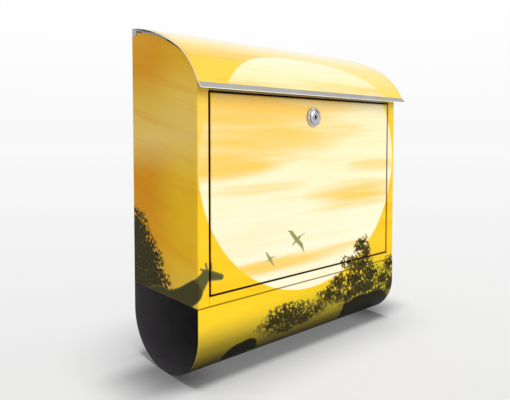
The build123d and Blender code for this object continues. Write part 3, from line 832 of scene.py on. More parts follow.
@dataclass(frozen=True)
class PrintedSteel:
    """Steel sheet with a printed picture under a satin lacquer.

    Attributes:
        name: The material's name.
        roughness: Roughness of the lacquer.
        unfolded: Whether the picture follows the piece's own UV map. Otherwise it is laid
            flat on the front by Object coordinates, and plain coat shows on other faces.
        shade: How much painted shade darkens the picture, for a strip that lies deep under the lip.
        shade_colour: Screen colour of that painted shade.
        coat_colour: Screen colour of the plain coat.
        front_skin: Places along Y where the plain coat ends and where the picture is full.
        gloss: Strength of the lacquer's reflection.
    """

    name: str
    roughness: float
    unfolded: bool
    shade: float = 0.0
    shade_colour: Screen = (30, 24, 6)
    coat_colour: Screen = (58, 57, 58)
    front_skin: Pair = (-148.0 * MM, -149.5 * MM)
    gloss: float = 0.04

    def build(self, picture: SunsetPrint) -> Material:
        """Makes the material.

        Args:
            picture: The print, whose node group colours it.

        Returns:
            The material.
        """
        material, w, shader = new_material(self.name)
        node = w.add("ShaderNodeGroup", node_tree=picture.group)
        place = object_place(w)
        colour = node.outputs[0]
        if self.unfolded:
            w.feed(node.inputs[0], w.add("ShaderNodeUVMap", uv_map=PRINT_MAP).outputs[0])
        else:
            across, back, up = w.split(place)
            w.feed(node.inputs[0], w.join(across, up))
            normal = w.add("ShaderNodeNewGeometry").outputs["True Normal"]
            facing = w.span(w.vector("DOT_PRODUCT", normal, (0, -1, 0)), 0.2, 0.7)
            outer = w.math("MULTIPLY", facing, w.span(back, *self.front_skin))
            # Painted shade over the picture, for the strip deep under the lip.
            shaded_picture = w.mix(self.shade, colour, srgb(*self.shade_colour))
            colour = w.mix(outer, srgb(*self.coat_colour), shaded_picture)
        w.feed(shader.inputs["Base Color"], colour)
        grain = w.noise(place, 900.0, 3.0)
        w.feed(shader.inputs["Roughness"], w.math("MULTIPLY_ADD", grain, 0.08, self.roughness - 0.04))
        shader.inputs["Specular IOR Level"].default_value = self.gloss
        w.feed(shader.inputs["Normal"], bump(w, w.noise(place, 420.0, 2.0), 0.06, 0.0002))
        return material


@dataclass(frozen=True)
class Coat:
    """Powder or plastic coat with an orange-peel skin and slight blotches.

    Attributes:
        name: The material's name.
        colour: Screen colour.
        roughness: Mean roughness.
        peel: Cells of the skin per metre.
        relief: Strength of the skin's bump.
        specular: Strength of its gloss.
        painted_glow: Emission of its own, a painted light that stands in for the light a very pale coat
            gives back from all round.
    """

    name: str
    colour: Screen
    roughness: float
    peel: float
    relief: float
    specular: float = 0.5
    painted_glow: float = 0.0

    def build(self) -> Material:
        """Makes the material.

        Returns:
            The material.
        """
        material, w, shader = new_material(self.name)
        place = object_place(w)
        red, green, blue, _ = clean = srgb(*self.colour)
        blotch = w.noise(place, 28.0, 4.0)
        deep = (red * 0.86, green * 0.86, blue * 0.86, 1.0)
        w.feed(shader.inputs["Base Color"], w.mix(w.span(blotch, 0.3, 0.7), deep, clean))
        skin = w.noise(place, self.peel, 2.0)
        w.feed(shader.inputs["Roughness"], w.math("MULTIPLY_ADD", blotch, 0.12, self.roughness - 0.06))
        shader.inputs["Specular IOR Level"].default_value = self.specular
        shader.inputs["Emission Color"].default_value = clean
        shader.inputs["Emission Strength"].default_value = self.painted_glow
        w.feed(shader.inputs["Normal"], bump(w, skin, self.relief, 0.0003))
        return material


@dataclass(frozen=True)
class Metal:
    """Plated or bare metal with fine turning marks and a little handling wear.

    Attributes:
        name: The material's name.
        colour: Screen colour of clean metal.
        roughness: Mean roughness.
        centre: A point on the axis that the turning marks run round.
        ring_pitch: Distance between turning marks, in metres, or 0 for blotches only.
        recess_shade_from: Y past which the metal lies in a recess that carries painted shade, or 0 for
            none.
        shaded_mouth: Radii at which that painted shade ends and is full, in metres.
        recess_shade_colour: Screen colour of the painted shade in the recess.
        worn: Share of each channel that worn metal keeps.
    """

    name: str
    colour: Screen
    roughness: float
    centre: Place = (0.0, 0.0, 0.0)
    ring_pitch: float = 0.0
    recess_shade_from: float = 0.0
    shaded_mouth: Pair = (4.4 * MM, 4.0 * MM)
    recess_shade_colour: Screen = (30, 30, 33)
    worn: Place = (0.7, 0.69, 0.68)

    def build(self) -> Material:
        """Makes the material.

        Returns:
            The material.
        """
        material, w, shader = new_material(self.name)
        place = object_place(w)
        clean = srgb(*self.colour)
        worn = (*(channel * share for channel, share in zip(clean, self.worn)), 1.0)
        blotch = w.noise(place, 220.0, 5.0, 0.6)
        colour = w.mix(w.span(blotch, 0.35, 0.6), worn, clean)
        out = w.vector("MULTIPLY", w.vector("SUBTRACT", place, self.centre), (1.0, 0.0, 1.0))
        # Painted shade darkens the recess round the keyway.
        if self.recess_shade_from:
            recess = w.span(w.split(place)[1], self.recess_shade_from, self.recess_shade_from + 0.3 * MM)
            shaded_mouth = w.span(w.vector("LENGTH", out), *self.shaded_mouth)
            colour = w.mix(w.math("MULTIPLY", recess, shaded_mouth), colour, srgb(*self.recess_shade_colour))
        w.feed(shader.inputs["Base Color"], colour)
        shader.inputs["Metallic"].default_value = 1.0
        w.feed(shader.inputs["Roughness"], w.math("MULTIPLY_ADD", blotch, 0.2, self.roughness - 0.1))
        height = w.noise(place, 1500.0, 2.0)
        if self.ring_pitch:
            turns = w.math("MULTIPLY", w.vector("LENGTH", out), 2 * math.pi / self.ring_pitch)
            height = w.math("MULTIPLY_ADD", w.math("SINE", turns), 0.5, height)
        w.feed(shader.inputs["Normal"], bump(w, height, 0.12, 0.00005))
        return material


@dataclass(frozen=True)
class StageCard:
    """Pale floor card that keeps some light even under the box by an emission of its own, with painted
    light falling off across it and a painted shadow beside both ends of the box.

    Attributes:
        name: The material's name.
        share: Part of its brightness that lamps and air give.
        painted_glow: Part that is its own emission, painted light.
        shade: How much of it is lost to a painted shadow close to both ends of the box.
        shade_centre: Where that shade is centred, along Y.
        shade_width: How far from there it ends and where it is full.
        shade_ends: Distances from the middle, along X, where it begins, peaks and ends.
        away: Direction over the floor in which it grows lighter, as painted light.
        greys: Painted brightness by distance in that direction, from the middle of the box.
    """

    name: str
    share: float = 0.25
    painted_glow: float = 0.2
    shade: float = 0.6
    shade_centre: float = -88.0 * MM
    shade_width: Pair = (66.0 * MM, 18.0 * MM)
    shade_ends: Place = (120.0 * MM, 190.0 * MM, 290.0 * MM)
    away: Place = (0.654, 0.757, 0.0)
    greys: tuple[Pair, ...] = ((-0.5, 0.82), (-0.2, 0.833), (0.0, 0.858), (0.3, 0.88), (1.5, 0.914),
                               (8.0, 0.944))

    def build(self) -> Material:
        """Makes the material.

        Returns:
            The material.
        """
        material, w, shader = new_material(self.name)
        along = w.vector("DOT_PRODUCT", object_place(w), self.away)
        low, high = self.greys[0][0], self.greys[-1][0]
        shades = [((far - low) / (high - low), (grey, grey, grey, 1.0)) for far, grey in self.greys]
        plain = w.ramp(w.span(along, low, high, smooth=False), shades)
        across, back, _ = w.split(object_place(w))
        aside = w.math("ABSOLUTE", across)
        off = w.math("ABSOLUTE", w.math("SUBTRACT", back, self.shade_centre))
        near, end, far = self.shade_ends
        # Painted shadow beside both ends of the box.
        ends = w.math("MULTIPLY", w.span(aside, far, end), w.span(aside, near, end))
        shade = w.math("MULTIPLY", w.math("MULTIPLY", ends, w.span(off, *self.shade_width)), self.shade)
        card = w.vector("SCALE", plain, Scale=w.math("SUBTRACT", 1.0, shade))
        w.feed(shader.inputs["Base Color"], w.vector("SCALE", card, Scale=self.share))
        w.feed(shader.inputs["Emission Color"], card)
        shader.inputs["Emission Strength"].default_value = self.painted_glow
        shader.inputs["Roughness"].default_value = 0.9
        shader.inputs["Specular IOR Level"].default_value = 0.0
        return material


# ---------------------------------------------------------------------------- shapes
def arc(centre: Pair, radius: float, start: float, end: float, count: int) -> list[Pair]:
    """Points of an arc.

    Args:
        centre: Its centre.
        radius: Its radius.
        start: First angle in degrees, from the first axis towards the second.
        end: Last angle.
        count: Number of pieces.

    Returns:
        count + 1 points.
    """
    angles = [math.radians(start + (end - start) * step / count) for step in range(count + 1)]
    return [(centre[0] + radius * math.cos(a), centre[1] + radius * math.sin(a)) for a in angles]


def folded(points: Sequence[Pair], radius: float, pieces: int = 5) -> list[Pair]:
    """Rounds the inner corners of a polyline, as a brake press folds a sheet.

    Args:
        points: The corners and both ends.
        radius: Radius of each fold.
        pieces: Straight pieces that make up a fold.

    Returns:
        The rounded line.
    """
    line = [points[0]]
    for before, corner, after in zip(points, points[1:], points[2:]):
        a, b, c = Vector(before), Vector(corner), Vector(after)
        come, leave = (a - b).normalized(), (c - b).normalized()
        half = come.angle(leave) / 2
        setback = radius / math.tan(half)
        centre = b + (come + leave).normalized() * (radius / math.sin(half))
        first, last = b + come * setback - centre, b + leave * setback - centre
        for step in range(pieces + 1):
            blend = first.lerp(last, step / pieces)
            line.append(tuple(centre + blend.normalized() * radius))
    line.append(points[-1])
    return line


def lengths(points: Sequence[Pair]) -> list[float]:
    """Gives each point's distance along a line.

    Args:
        points: The line.

    Returns:
        A distance for each point, from 0.
    """
    run = [0.0]
    for before, after in zip(points, points[1:]):
        run.append(run[-1] + math.dist(before, after))
    return run


def new_object(name: str, mesh: bpy.types.Mesh) -> Piece:
    """Puts a mesh into the scene.

    Args:
        name: The piece's name.
        mesh: Its mesh.

    Returns:
        The new object.
    """
    piece = bpy.data.objects.new(name, mesh)
    bpy.context.scene.collection.objects.link(piece)
    return piece


def mesh_from(name: str, fill: Callable[[BMesh], None]) -> Piece:
    """Makes an object from a function that fills a bmesh.

    Args:
        name: The piece's name.
        fill: Adds the geometry.

    Returns:
        The new object.
    """
    shape = bmesh.new()
    fill(shape)
    mesh = bpy.data.meshes.new(name)
    shape.to_mesh(mesh)
    shape.free()
    return new_object(name, mesh)


def smooth(piece: Piece, crease: float = 35.0) -> None:
    """Shades a piece smoothly and keeps folds sharper than an angle in degrees crisp."""
    piece.data.shade_smooth()
    piece.data.set_sharp_from_angle(angle=math.radians(crease))


def thicken(piece: Piece, thickness: float, edge_round: float = 0.25 * MM) -> None:
    """Gives a single sheet its thickness, away from its face, and eases its cut edges.

    Args:
        piece: The sheet. Its slots are its face, its back and its cut edge.
        thickness: The sheet's thickness in metres.
        edge_round: Width of the eased edge.
    """
    wall = piece.modifiers.new("wall", "SOLIDIFY")
    wall.thickness = thickness
    wall.offset = -1.0
    wall.use_even_offset = True
    wall.material_offset = 1
    wall.material_offset_rim = 2
    ease = piece.modifiers.new("ease", "BEVEL")
    ease.width = edge_round
    ease.segments = 2
    ease.limit_method = "ANGLE"
    ease.angle_limit = math.radians(50)
    ease.harden_normals = True
    smooth(piece)


def dress(piece: Piece, *materials: Material) -> None:
    """Puts materials in a piece's slots.

    Args:
        piece: The piece.
        materials: Its materials, in order.
    """
    piece.data.materials.clear()
    for material in materials:
        piece.data.materials.append(material)


def paint_uv(piece: Piece, spread: Callable[[Vector], Pair]) -> None:
    """Writes the print's UV map of a piece.

    Args:
        piece: The piece.
        spread: Turns a vertex's place into a place on the print, both in metres.
    """
    layer = piece.data.uv_layers.new(name=PRINT_MAP)
    for loop in piece.data.loops:
        layer.data[loop.index].uv = spread(piece.data.vertices[loop.vertex_index].co)


# ---------------------------------------------------------------------------- geometry trees
def open_tree(name: str, **inputs: str) -> tuple[NodeWriter, bpy.types.bpy_prop_collection]:
    """Starts a geometry tree.

    Args:
        name: The tree's name.
        inputs: Its input names and the kinds of their sockets.

    Returns:
        A writer for the tree, and its inputs by name.
    """
    tree = bpy.data.node_groups.new(name, "GeometryNodeTree")
    for label, kind in inputs.items():
        tree.interface.new_socket(label, in_out="INPUT", socket_type="NodeSocket" + kind)
    tree.interface.new_socket("Geometry", in_out="OUTPUT", socket_type="NodeSocketGeometry")
    w = NodeWriter(tree)
    return w, w.add("NodeGroupInput").outputs


def close_tree(w: NodeWriter, shape: Socket, material: Socket) -> bpy.types.NodeTree:
    """Ends a geometry tree with real meshes and their material.

    Args:
        w: The tree's writer.
        shape: The finished geometry.
        material: Its finish.

    Returns:
        The tree.
    """
    real = w.add("GeometryNodeRealizeInstances")
    w.feed(real.inputs[0], shape)
    paint = w.add("GeometryNodeSetMaterial")
    w.feed(paint.inputs["Geometry"], real.outputs[0])
    w.feed(paint.inputs["Material"], material)
    w.feed(w.add("NodeGroupOutput").inputs[0], paint.outputs[0])
    return w.tree


class SheetTree:
    """Geometry nodes that draw a folded section out across the width of the box.

    The section is a chain of edges with the print's height at each point. Every sheet with
    one section all along is made with it.
    """

    def __init__(self) -> None:
        """Builds the tree and its named inputs."""
        w, given = open_tree("drawn_sheet", Section="Object", Left="Float", Right="Float",
                             Material="Material")
        section = w.add("GeometryNodeObjectInfo")
        w.feed(section.inputs["Object"], given["Section"])
        shift = w.add("GeometryNodeSetPosition")
        w.feed(shift.inputs["Geometry"], section.outputs["Geometry"])
        w.feed(shift.inputs["Offset"], w.join(given["Left"]))
        draw = w.add("GeometryNodeExtrudeMesh", mode="EDGES")
        w.feed(draw.inputs["Mesh"], shift.outputs[0])
        w.feed(draw.inputs["Offset"], w.join(w.math("SUBTRACT", given["Right"], given["Left"])))
        height = w.add("GeometryNodeInputNamedAttribute", data_type="FLOAT")
        height.inputs["Name"].default_value = "print_height"
        across = w.split(w.add("GeometryNodeInputPosition").outputs[0])[0]
        store = w.add("GeometryNodeStoreNamedAttribute", data_type="FLOAT2", domain="CORNER")
        store.inputs["Name"].default_value = PRINT_MAP
        w.feed(store.inputs["Geometry"], draw.outputs["Mesh"])
        w.feed(store.inputs["Value"], w.join(across, height.outputs[0]))
        self.tree = close_tree(w, store.outputs[0], given["Material"])

    def draw(self, name: str, section: Sequence[Pair], heights: Sequence[float], left: float,
             right: float, material: Material) -> Piece:
        """Makes a sheet.

        Args:
            name: The piece's name.
            section: Its points back and up, in metres.
            heights: The print's height at each of them.
            left: Where it begins along X.
            right: Where it ends.
            material: Finish of its face.

        Returns:
            The sheet as a plain mesh with the print's map.
        """
        chain = bpy.data.meshes.new(name + "_section")
        chain.from_pydata([(0.0, y, z) for y, z in section],
                          [(step, step + 1) for step in range(len(section) - 1)], [])
        chain.attributes.new("print_height", "FLOAT", "POINT").data.foreach_set("value", list(heights))
        guide = new_object(name + "_section", chain)
        values = {"Section": guide, "Left": left, "Right": right, "Material": material}
        piece = evaluate(name, self.tree, values)
        bpy.data.objects.remove(guide)
        return piece


class CopyTree:
    """Geometry nodes that set copies of one part in columns and rows."""

    def __init__(self) -> None:
        """Builds the tree and its named inputs."""
        steps = dict.fromkeys(("Column Step", "Row Step", "First", "Turn"), "Vector")
        w, given = open_tree("set_copies", Part="Object", Columns="Int", Rows="Int", **steps,
                             Material="Material")
        index = w.add("GeometryNodeInputIndex").outputs[0]
        column = w.math("MODULO", index, given["Columns"])
        row = w.math("FLOOR", w.math("DIVIDE", w.math("ADD", index, 0.5), given["Columns"]))
        place = w.vector("ADD", given["First"], w.vector("SCALE", given["Column Step"], Scale=column))
        place = w.vector("ADD", place, w.vector("SCALE", given["Row Step"], Scale=row))
        points = w.add("GeometryNodePoints")
        w.feed(points.inputs["Count"], w.math("MULTIPLY", given["Columns"], given["Rows"]))
        w.feed(points.inputs["Position"], place)
        part = w.add("GeometryNodeObjectInfo")
        w.feed(part.inputs["Object"], given["Part"])
        copies = w.add("GeometryNodeInstanceOnPoints")
        w.feed(copies.inputs["Points"], points.outputs[0])
        w.feed(copies.inputs["Instance"], part.outputs["Geometry"])
        w.feed(copies.inputs["Rotation"], given["Turn"])
        self.tree = close_tree(w, copies.outputs[0], given["Material"])

    def place(self, name: str, profile: Sequence[Pair], material: Material, first: Sequence[float],
              column_step: Sequence[float], columns: int, row_step: Sequence[float] = (0, 0, 0),
              rows: int = 1, turn: Sequence[float] = (0, 0, 0)) -> Piece:
        """Turns a part on a lathe and sets its copies.

        Args:
            name: The piece's name.
            profile: The part's outline as (radius, height), from the axis back to the axis.
            material: Its finish.
            first: Place of the first copy.
            column_step: From one column to the next.
            columns: Number of columns.
            row_step: From one row to the next.
            rows: Number of rows.
            turn: Turn of every copy, in radians.

        Returns:
            All the copies as one plain mesh.
        """
        part = mesh_from(name + "_part", lambda shape: spin_profile(shape, profile))
        smooth(part, 40)
        values = {"Part": part, "Columns": columns, "Rows": rows, "Column Step": column_step,
                  "Row Step": row_step, "First": first, "Turn": turn, "Material": material}
        piece = evaluate(name, self.tree, values)
        bpy.data.objects.remove(part)
        return piece


def evaluate(name: str, tree: bpy.types.NodeTree, values: dict[str, object]) -> Piece:
    """Runs a geometry tree on an empty piece and keeps the result as a plain mesh.

    Args:
        name: The piece's name.
        tree: The geometry tree.
        values: Its inputs by name.

    Returns:
        The finished piece.
    """
    piece = new_object(name, bpy.data.meshes.new(name + "_start"))
    modifier = piece.modifiers.new("build", "NODES")
    modifier.node_group = tree
    for item in tree.interface.items_tree:
        if item.in_out == "INPUT":
            modifier[item.identifier] = values[item.name]
    graph = bpy.context.evaluated_depsgraph_get()
    mesh = bpy.data.meshes.new_from_object(piece.evaluated_get(graph), depsgraph=graph)
    piece.modifiers.remove(modifier)
    mesh.name = name
    piece.data = mesh
    return piece


def spin_profile(shape: BMesh, profile: Sequence[Pair], segments: int = 40) -> None:
    """Turns an outline about Z into a closed shape.

    Args:
        shape: Receives the geometry.
        profile: Points (radius, height), from the axis round to the axis.
        segments: Number of steps round the axis.
    """
    rings = []
    for radius, height in profile:
        if radius == 0:
            rings.append([shape.verts.new((0, 0, height))])
            continue
        circle = arc((0.0, 0.0), radius, 0, 360, segments)[:-1]
        rings.append([shape.verts.new((x, y, height)) for x, y in circle])
    for low, high in zip(rings, rings[1:]):
        for step in range(segments):
            after = (step + 1) % segments
            corners = [low[step % len(low)], low[after % len(low)],
                       high[after % len(high)], high[step % len(high)]]
            shape.faces.new(list(dict.fromkeys(corners)))
    bmesh.ops.recalc_face_normals(shape, faces=shape.faces)


# ---------------------------------------------------------------------------- the workshop
@dataclass
class Workshop:
    """What every sub-assembly shares: the finishes, the print and the geometry trees."""

    picture: SunsetPrint = field(default_factory=SunsetPrint)
    sheets: SheetTree = field(default_factory=SheetTree)
    copies: CopyTree = field(default_factory=CopyTree)

    def __post_init__(self) -> None:
        """Makes the materials once."""
        lock_low, lock_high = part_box("lock_housing")
        lock_centre = tuple((lock_low + lock_high) / 2)
        self.printed = PrintedSteel("printed_sheet", 0.42, True).build(self.picture)
        self.printed_flat = PrintedSteel("printed_front", 0.42, False).build(self.picture)
        # The header rail under the lip carries painted shade over its print.
        self.printed_shaded = PrintedSteel("printed_under_lip", 0.42, False, 0.55).build(self.picture)
        # The inside coat is partly its own dark colour and partly painted shade: it is kept near-black so
        # the door's gaps, the jambs and the hood's underside read as shadow.
        self.inside = Coat("dark_inside_coat", (27, 26, 28), 0.62, 1100.0, 0.25, 0.15).build()
        self.lining = Coat("roll_lining", (98, 95, 98), 0.6, 1100.0, 0.25, 0.3).build()
        # The pale cut edges shine a little light of their own: a painted highlight along them.
        self.edge = Coat("pale_cut_edge", (246, 246, 243), 0.5, 1600.0, 0.1, painted_glow=0.25).build()
        self.lip = Coat("pale_lip", (166, 165, 160), 0.36, 1300.0, 0.12).build()
        self.polymer = Coat("hinge_polymer", (206, 212, 214), 0.38, 900.0, 0.15).build()
        self.rubber = Coat("bumper_rubber", (24, 24, 25), 0.85, 2200.0, 0.5, 0.2).build()
        nickel = Metal("lock_nickel", (206, 208, 214), 0.3, lock_centre, 0.0007)
        self.nickel = nickel.build()
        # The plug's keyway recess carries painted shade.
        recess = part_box("lock_core")[0].y + 2 * HAIR
        self.plug = replace(nickel, name="lock_plug", recess_shade_from=recess).build()
        self.zinc = Metal("zinc_plate", (190, 194, 196), 0.38).build()
        self.brass = Metal("wafer_brass", (222, 184, 96), 0.32).build()


def finish_piece(piece: Piece, body: str, slot: Slot, *nodes: str) -> None:
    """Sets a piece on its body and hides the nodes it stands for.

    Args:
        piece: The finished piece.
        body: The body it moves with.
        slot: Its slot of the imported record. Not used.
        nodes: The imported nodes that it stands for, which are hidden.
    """
    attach(piece, body)
    if nodes:
        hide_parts(*nodes)
    LOG.info("%s rides on %s", piece.name, body)


# ---------------------------------------------------------------------------- cabinet
@dataclass
class SidePanel:
    """A side of the cabinet, folded into the front flange and turned back beside the door.

    Attributes:
        node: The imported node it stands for.
        side: -1 for the left panel and 1 for the right.
    """

    node: str
    side: int
    sheet: float = 1.0 * MM
    bend: float = 1.5 * MM
    flange: float = 16.0 * MM
    jamb: float = 12.0 * MM
    notch_y: float = -12.1 * MM
    notch_z: float = 158.7 * MM
    jamb_low: float = -158.7 * MM
    jamb_high: float = 78.9 * MM
    hood_gap: float = 5.0 * MM
    plate_columns: int = 44

    def _arch(self, y: float, hood: "Hood") -> float:
        """Follows the hood's arch, a gap below it.

        Args:
            y: Place along Y.
            hood: The hood.

        Returns:
            The height of the panel's top edge there.
        """
        inner_radius = hood.rear_radius - self.hood_gap
        break_y = hood.rear_centre[0] - inner_radius * math.sin(hood.break_angle)
        centre, radius = hood.rear_centre, hood.rear_radius
        if y < break_y:
            centre, radius = hood.front_centre, hood.front_radius
        reach = radius - self.hood_gap
        return centre[1] + math.sqrt(max(reach**2 - (y - centre[0]) ** 2, 0.0))

    def build(self, shop: Workshop, hood: "Hood") -> None:
        """Makes the panel and dresses it.

        Args:
            shop: The finishes and trees.
            hood: The hood that its top edge follows.
        """
        low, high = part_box(self.node)
        half = max(abs(low.x), abs(high.x))
        front, foot = low.y, low.z
        corner, jamb_x = -half, -half + self.flange
        turned_in = (jamb_x, front + self.jamb)
        plan = folded([(corner, self.notch_y), (corner, front), (jamb_x, front), turned_in], self.bend)
        fine = [(corner, high.y), (corner, self.notch_y)]
        reach = plan[1][1] - self.notch_y
        for step in range(1, self.plate_columns):
            share = math.sin(math.pi / 2 * step / self.plate_columns)
            fine.append((corner, self.notch_y + reach * share))
        plan = fine + plan[1:]
        top_rear = self._arch(self.notch_y, hood)
        share = (self.notch_z - self.jamb_high) / (top_rear - self.jamb_high)
        jamb_from = jamb_x - self.bend * 0.99

        def fill(shape: BMesh) -> None:
            """Adds the panel's columns and rows.

            Args:
                shape: Receives the geometry.
            """
            columns = []
            for x, y in plan:
                top = self._arch(max(y, front), hood) if y <= self.notch_y else top_rear
                middle = self.jamb_high + (top - self.jamb_high) * share
                heights = (foot, self.jamb_low, self.jamb_high, middle, top)
                columns.append([shape.verts.new((-self.side * x, y, z)) for z in heights])
            for before, after in zip(columns, columns[1:]):
                x = min(abs(before[0].co.x), abs(after[0].co.x))
                for row in range(4):
                    rear = before[0].co.y > self.notch_y + HAIR
                    if rear and row == 3:
                        continue
                    if x < -jamb_from and row != 1:
                        continue
                    corners = [before[row], after[row], after[row + 1], before[row + 1]]
                    shape.faces.new(corners if self.side < 0 else corners[::-1])
            # Above and below the jamb the flange runs on flat to its edge.
            start = min((c for c in columns if c[0].co.y == front), key=lambda c: abs(c[0].co.x))
            end = [shape.verts.new((-self.side * jamb_x, front, v.co.z)) for v in start]
            for row in (0, 2, 3):
                corners = [start[row], end[row], end[row + 1], start[row + 1]]
                shape.faces.new(corners if self.side < 0 else corners[::-1])
            loose = [v for v in shape.verts if not v.link_faces]
            bmesh.ops.delete(shape, geom=loose, context="VERTS")

        piece = mesh_from(self.node + "_sheet", fill)
        turn = half - self.flange / 2

        def spread(place: Vector) -> Pair:
            """Unfolds the panel onto the print.

            Args:
                place: A vertex's place.

            Returns:
                Its place across and up on the print.
            """
            back = place.y - front
            outwards = abs(place.x) + (back if abs(place.x) > turn else -back)
            return (self.side * outwards, place.z)

        paint_uv(piece, spread)
        dress(piece, shop.printed, shop.inside, shop.inside)
        for face in piece.data.polygons:
            if abs(face.center.x) < -jamb_x + self.bend / 4 and face.center.y > front + self.bend:
                face.material_index = 1
        thicken(piece, self.sheet)
        finish_piece(piece, "cabinet", Slot.PRINT, self.node)


@dataclass
class NewspaperRoll:
    """The open-ended trough under the cabinet, one sheet with two riveted flanges."""

    node: str = "newspaper_roll"
    sheet: float = 1.0 * MM
    bend: float = 1.5 * MM
    flange: float = 12.0 * MM
    straight: float = 33.4 * MM
    corner_radius: float = 60.0 * MM
    corner_angle: float = 60.0
    rivet_pitch: float = 105.0 * MM
    rivet_columns: int = 4
    rivet_head: float = 4.0 * MM
    rivet_rise: float = 1.2 * MM
    rivet_shank: float = 1.95 * MM
    rivet_tail: tuple[Pair, ...] = ((0.8, 1.0), (0.8, 0.3), (0.5, 0.0), (0.0, 0.0))
    dome_steps: int = 6
    arc_steps: int = 20

    def build(self, shop: Workshop) -> None:
        """Makes the trough and its rivets.

        Args:
            shop: The finishes and trees.
        """
        low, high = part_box(self.node)
        front, back, top = low.y, high.y, high.z
        middle = (front + back) / 2
        reach = (back - front) / 2 - self.corner_radius
        corner_z = top - self.straight
        turn = self.corner_angle
        flat_radius = self.corner_radius + reach / math.cos(math.radians(turn))
        flat_z = corner_z + (flat_radius - self.corner_radius) * math.sin(math.radians(turn))
        rise = folded([(front + self.flange, top), (front, top), (front, corner_z)], self.bend)
        section = rise[:-1]
        steps = self.arc_steps
        section += arc((middle - reach, corner_z), self.corner_radius, 180, 180 + turn, steps)
        section += arc((middle, flat_z), flat_radius, 180 + turn, 360 - turn, steps)[1:]
        section += arc((middle + reach, corner_z), self.corner_radius, 360 - turn, 360, steps)[1:]
        section += [(2 * middle - y, z) for y, z in reversed(rise[:-1])]
        start = self.flange - self.bend + self.bend * math.pi / 4
        heights = [top + start - distance for distance in lengths(section)]
        piece = shop.sheets.draw(self.node + "_sheet", section[::-1], heights[::-1], low.x, high.x,
                                 shop.printed)
        dress(piece, shop.printed, shop.lining, shop.inside)
        thicken(piece, self.sheet)
        finish_piece(piece, "cabinet", Slot.PRINT, self.node)
        self._rivets(shop)

    def _rivets(self, shop: Workshop) -> None:
        """Sets the rivets that join the trough to the cabinet's flanges.

        Args:
            shop: The finishes and trees.
        """
        low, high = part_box("roll_rivets")
        rows = (low.y + self.rivet_head, high.y - self.rivet_head)
        first = (-self.rivet_pitch * (self.rivet_columns - 1) / 2, rows[0], low.z)
        grip = high.z - low.z
        rise, head, shank = self.rivet_rise, self.rivet_head, self.rivet_shank
        angles = [math.pi / 2 * step / self.dome_steps for step in range(self.dome_steps, -1, -1)]
        dome = [(head * math.cos(a), rise * (1 - math.sin(a))) for a in angles]
        dome[0] = (0, 0.0)
        tail = [(head * out, grip - rise * short) for out, short in self.rivet_tail]
        profile = dome + [(shank, rise), (shank, grip - rise)] + tail
        piece = shop.copies.place("roll_rivet_row", profile, shop.zinc, first, (self.rivet_pitch, 0, 0),
                                  self.rivet_columns, (0, rows[1] - rows[0], 0), 2)
        finish_piece(piece, "cabinet", Slot.ZINC, "roll_rivets")


@dataclass
class Bumpers:
    """Rubber posts under the hood and rubber buttons behind the door's edge."""

    post_radius: float = 4.5 * MM
    button_radius: float = 4.0 * MM
    peg_radius: float = 1.5 * MM
    round_over: float = 0.8 * MM
    button_depth: float = 1.2 * MM
    dome_steps: int = 8

    def _pair(self, shop: Workshop, node: str, box: tuple[Vector, Vector], profile: Sequence[Pair],
              radius: float, upright: bool) -> None:
        """Sets a left and a right copy.

        Args:
            shop: The finishes and trees.
            node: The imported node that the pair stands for.
            box: The node's lowest and highest corner.
            profile: The part's outline.
            radius: Its largest radius.
            upright: Whether it stands up. Otherwise it lies with its foot towards the wall.
        """
        low, high = box
        first = (low.x + radius, (low.y + high.y) / 2, low.z)
        if not upright:
            first = (low.x + radius, low.y, (low.z + high.z) / 2)
        turn = (0 if upright else -math.pi / 2, 0, 0)
        spacing = (high.x - low.x - 2 * radius, 0, 0)
        piece = shop.copies.place(node[:-1] + "_pair", profile, shop.rubber, first, spacing, 2,
                                  turn=turn)
        finish_piece(piece, "cabinet", Slot.RUBBER, node)

    def build(self, shop: Workshop) -> None:
        """Makes both pairs.

        Args:
            shop: The finishes and trees.
        """
        low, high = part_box("hood_bumpers")
        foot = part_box("header_rail")[1].z - low.z
        tall, radius, peg = high.z - low.z, self.post_radius, self.peg_radius
        angles = [math.pi / 2 * step / self.dome_steps for step in range(self.dome_steps)]
        dome = [(radius * math.cos(a), tall - radius + radius * math.sin(a)) for a in angles]
        post = [(0, 0.0), (peg, 0.0), (peg, foot), (radius, foot)] + dome + [(0, tall)]
        self._pair(shop, "hood_bumpers", (low, high), post, radius, True)

        low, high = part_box("door_bumpers")
        radius, ease = self.button_radius, self.round_over
        body, tall = self.button_depth, high.y - low.y
        button = [(0, 0.0), (radius - ease, 0.0), (radius - ease * 0.3, ease * 0.3), (radius, ease),
                  (radius, body), (peg, body), (peg, tall), (0, tall)]
        self._pair(shop, "door_bumpers", (low, high), button, radius, False)


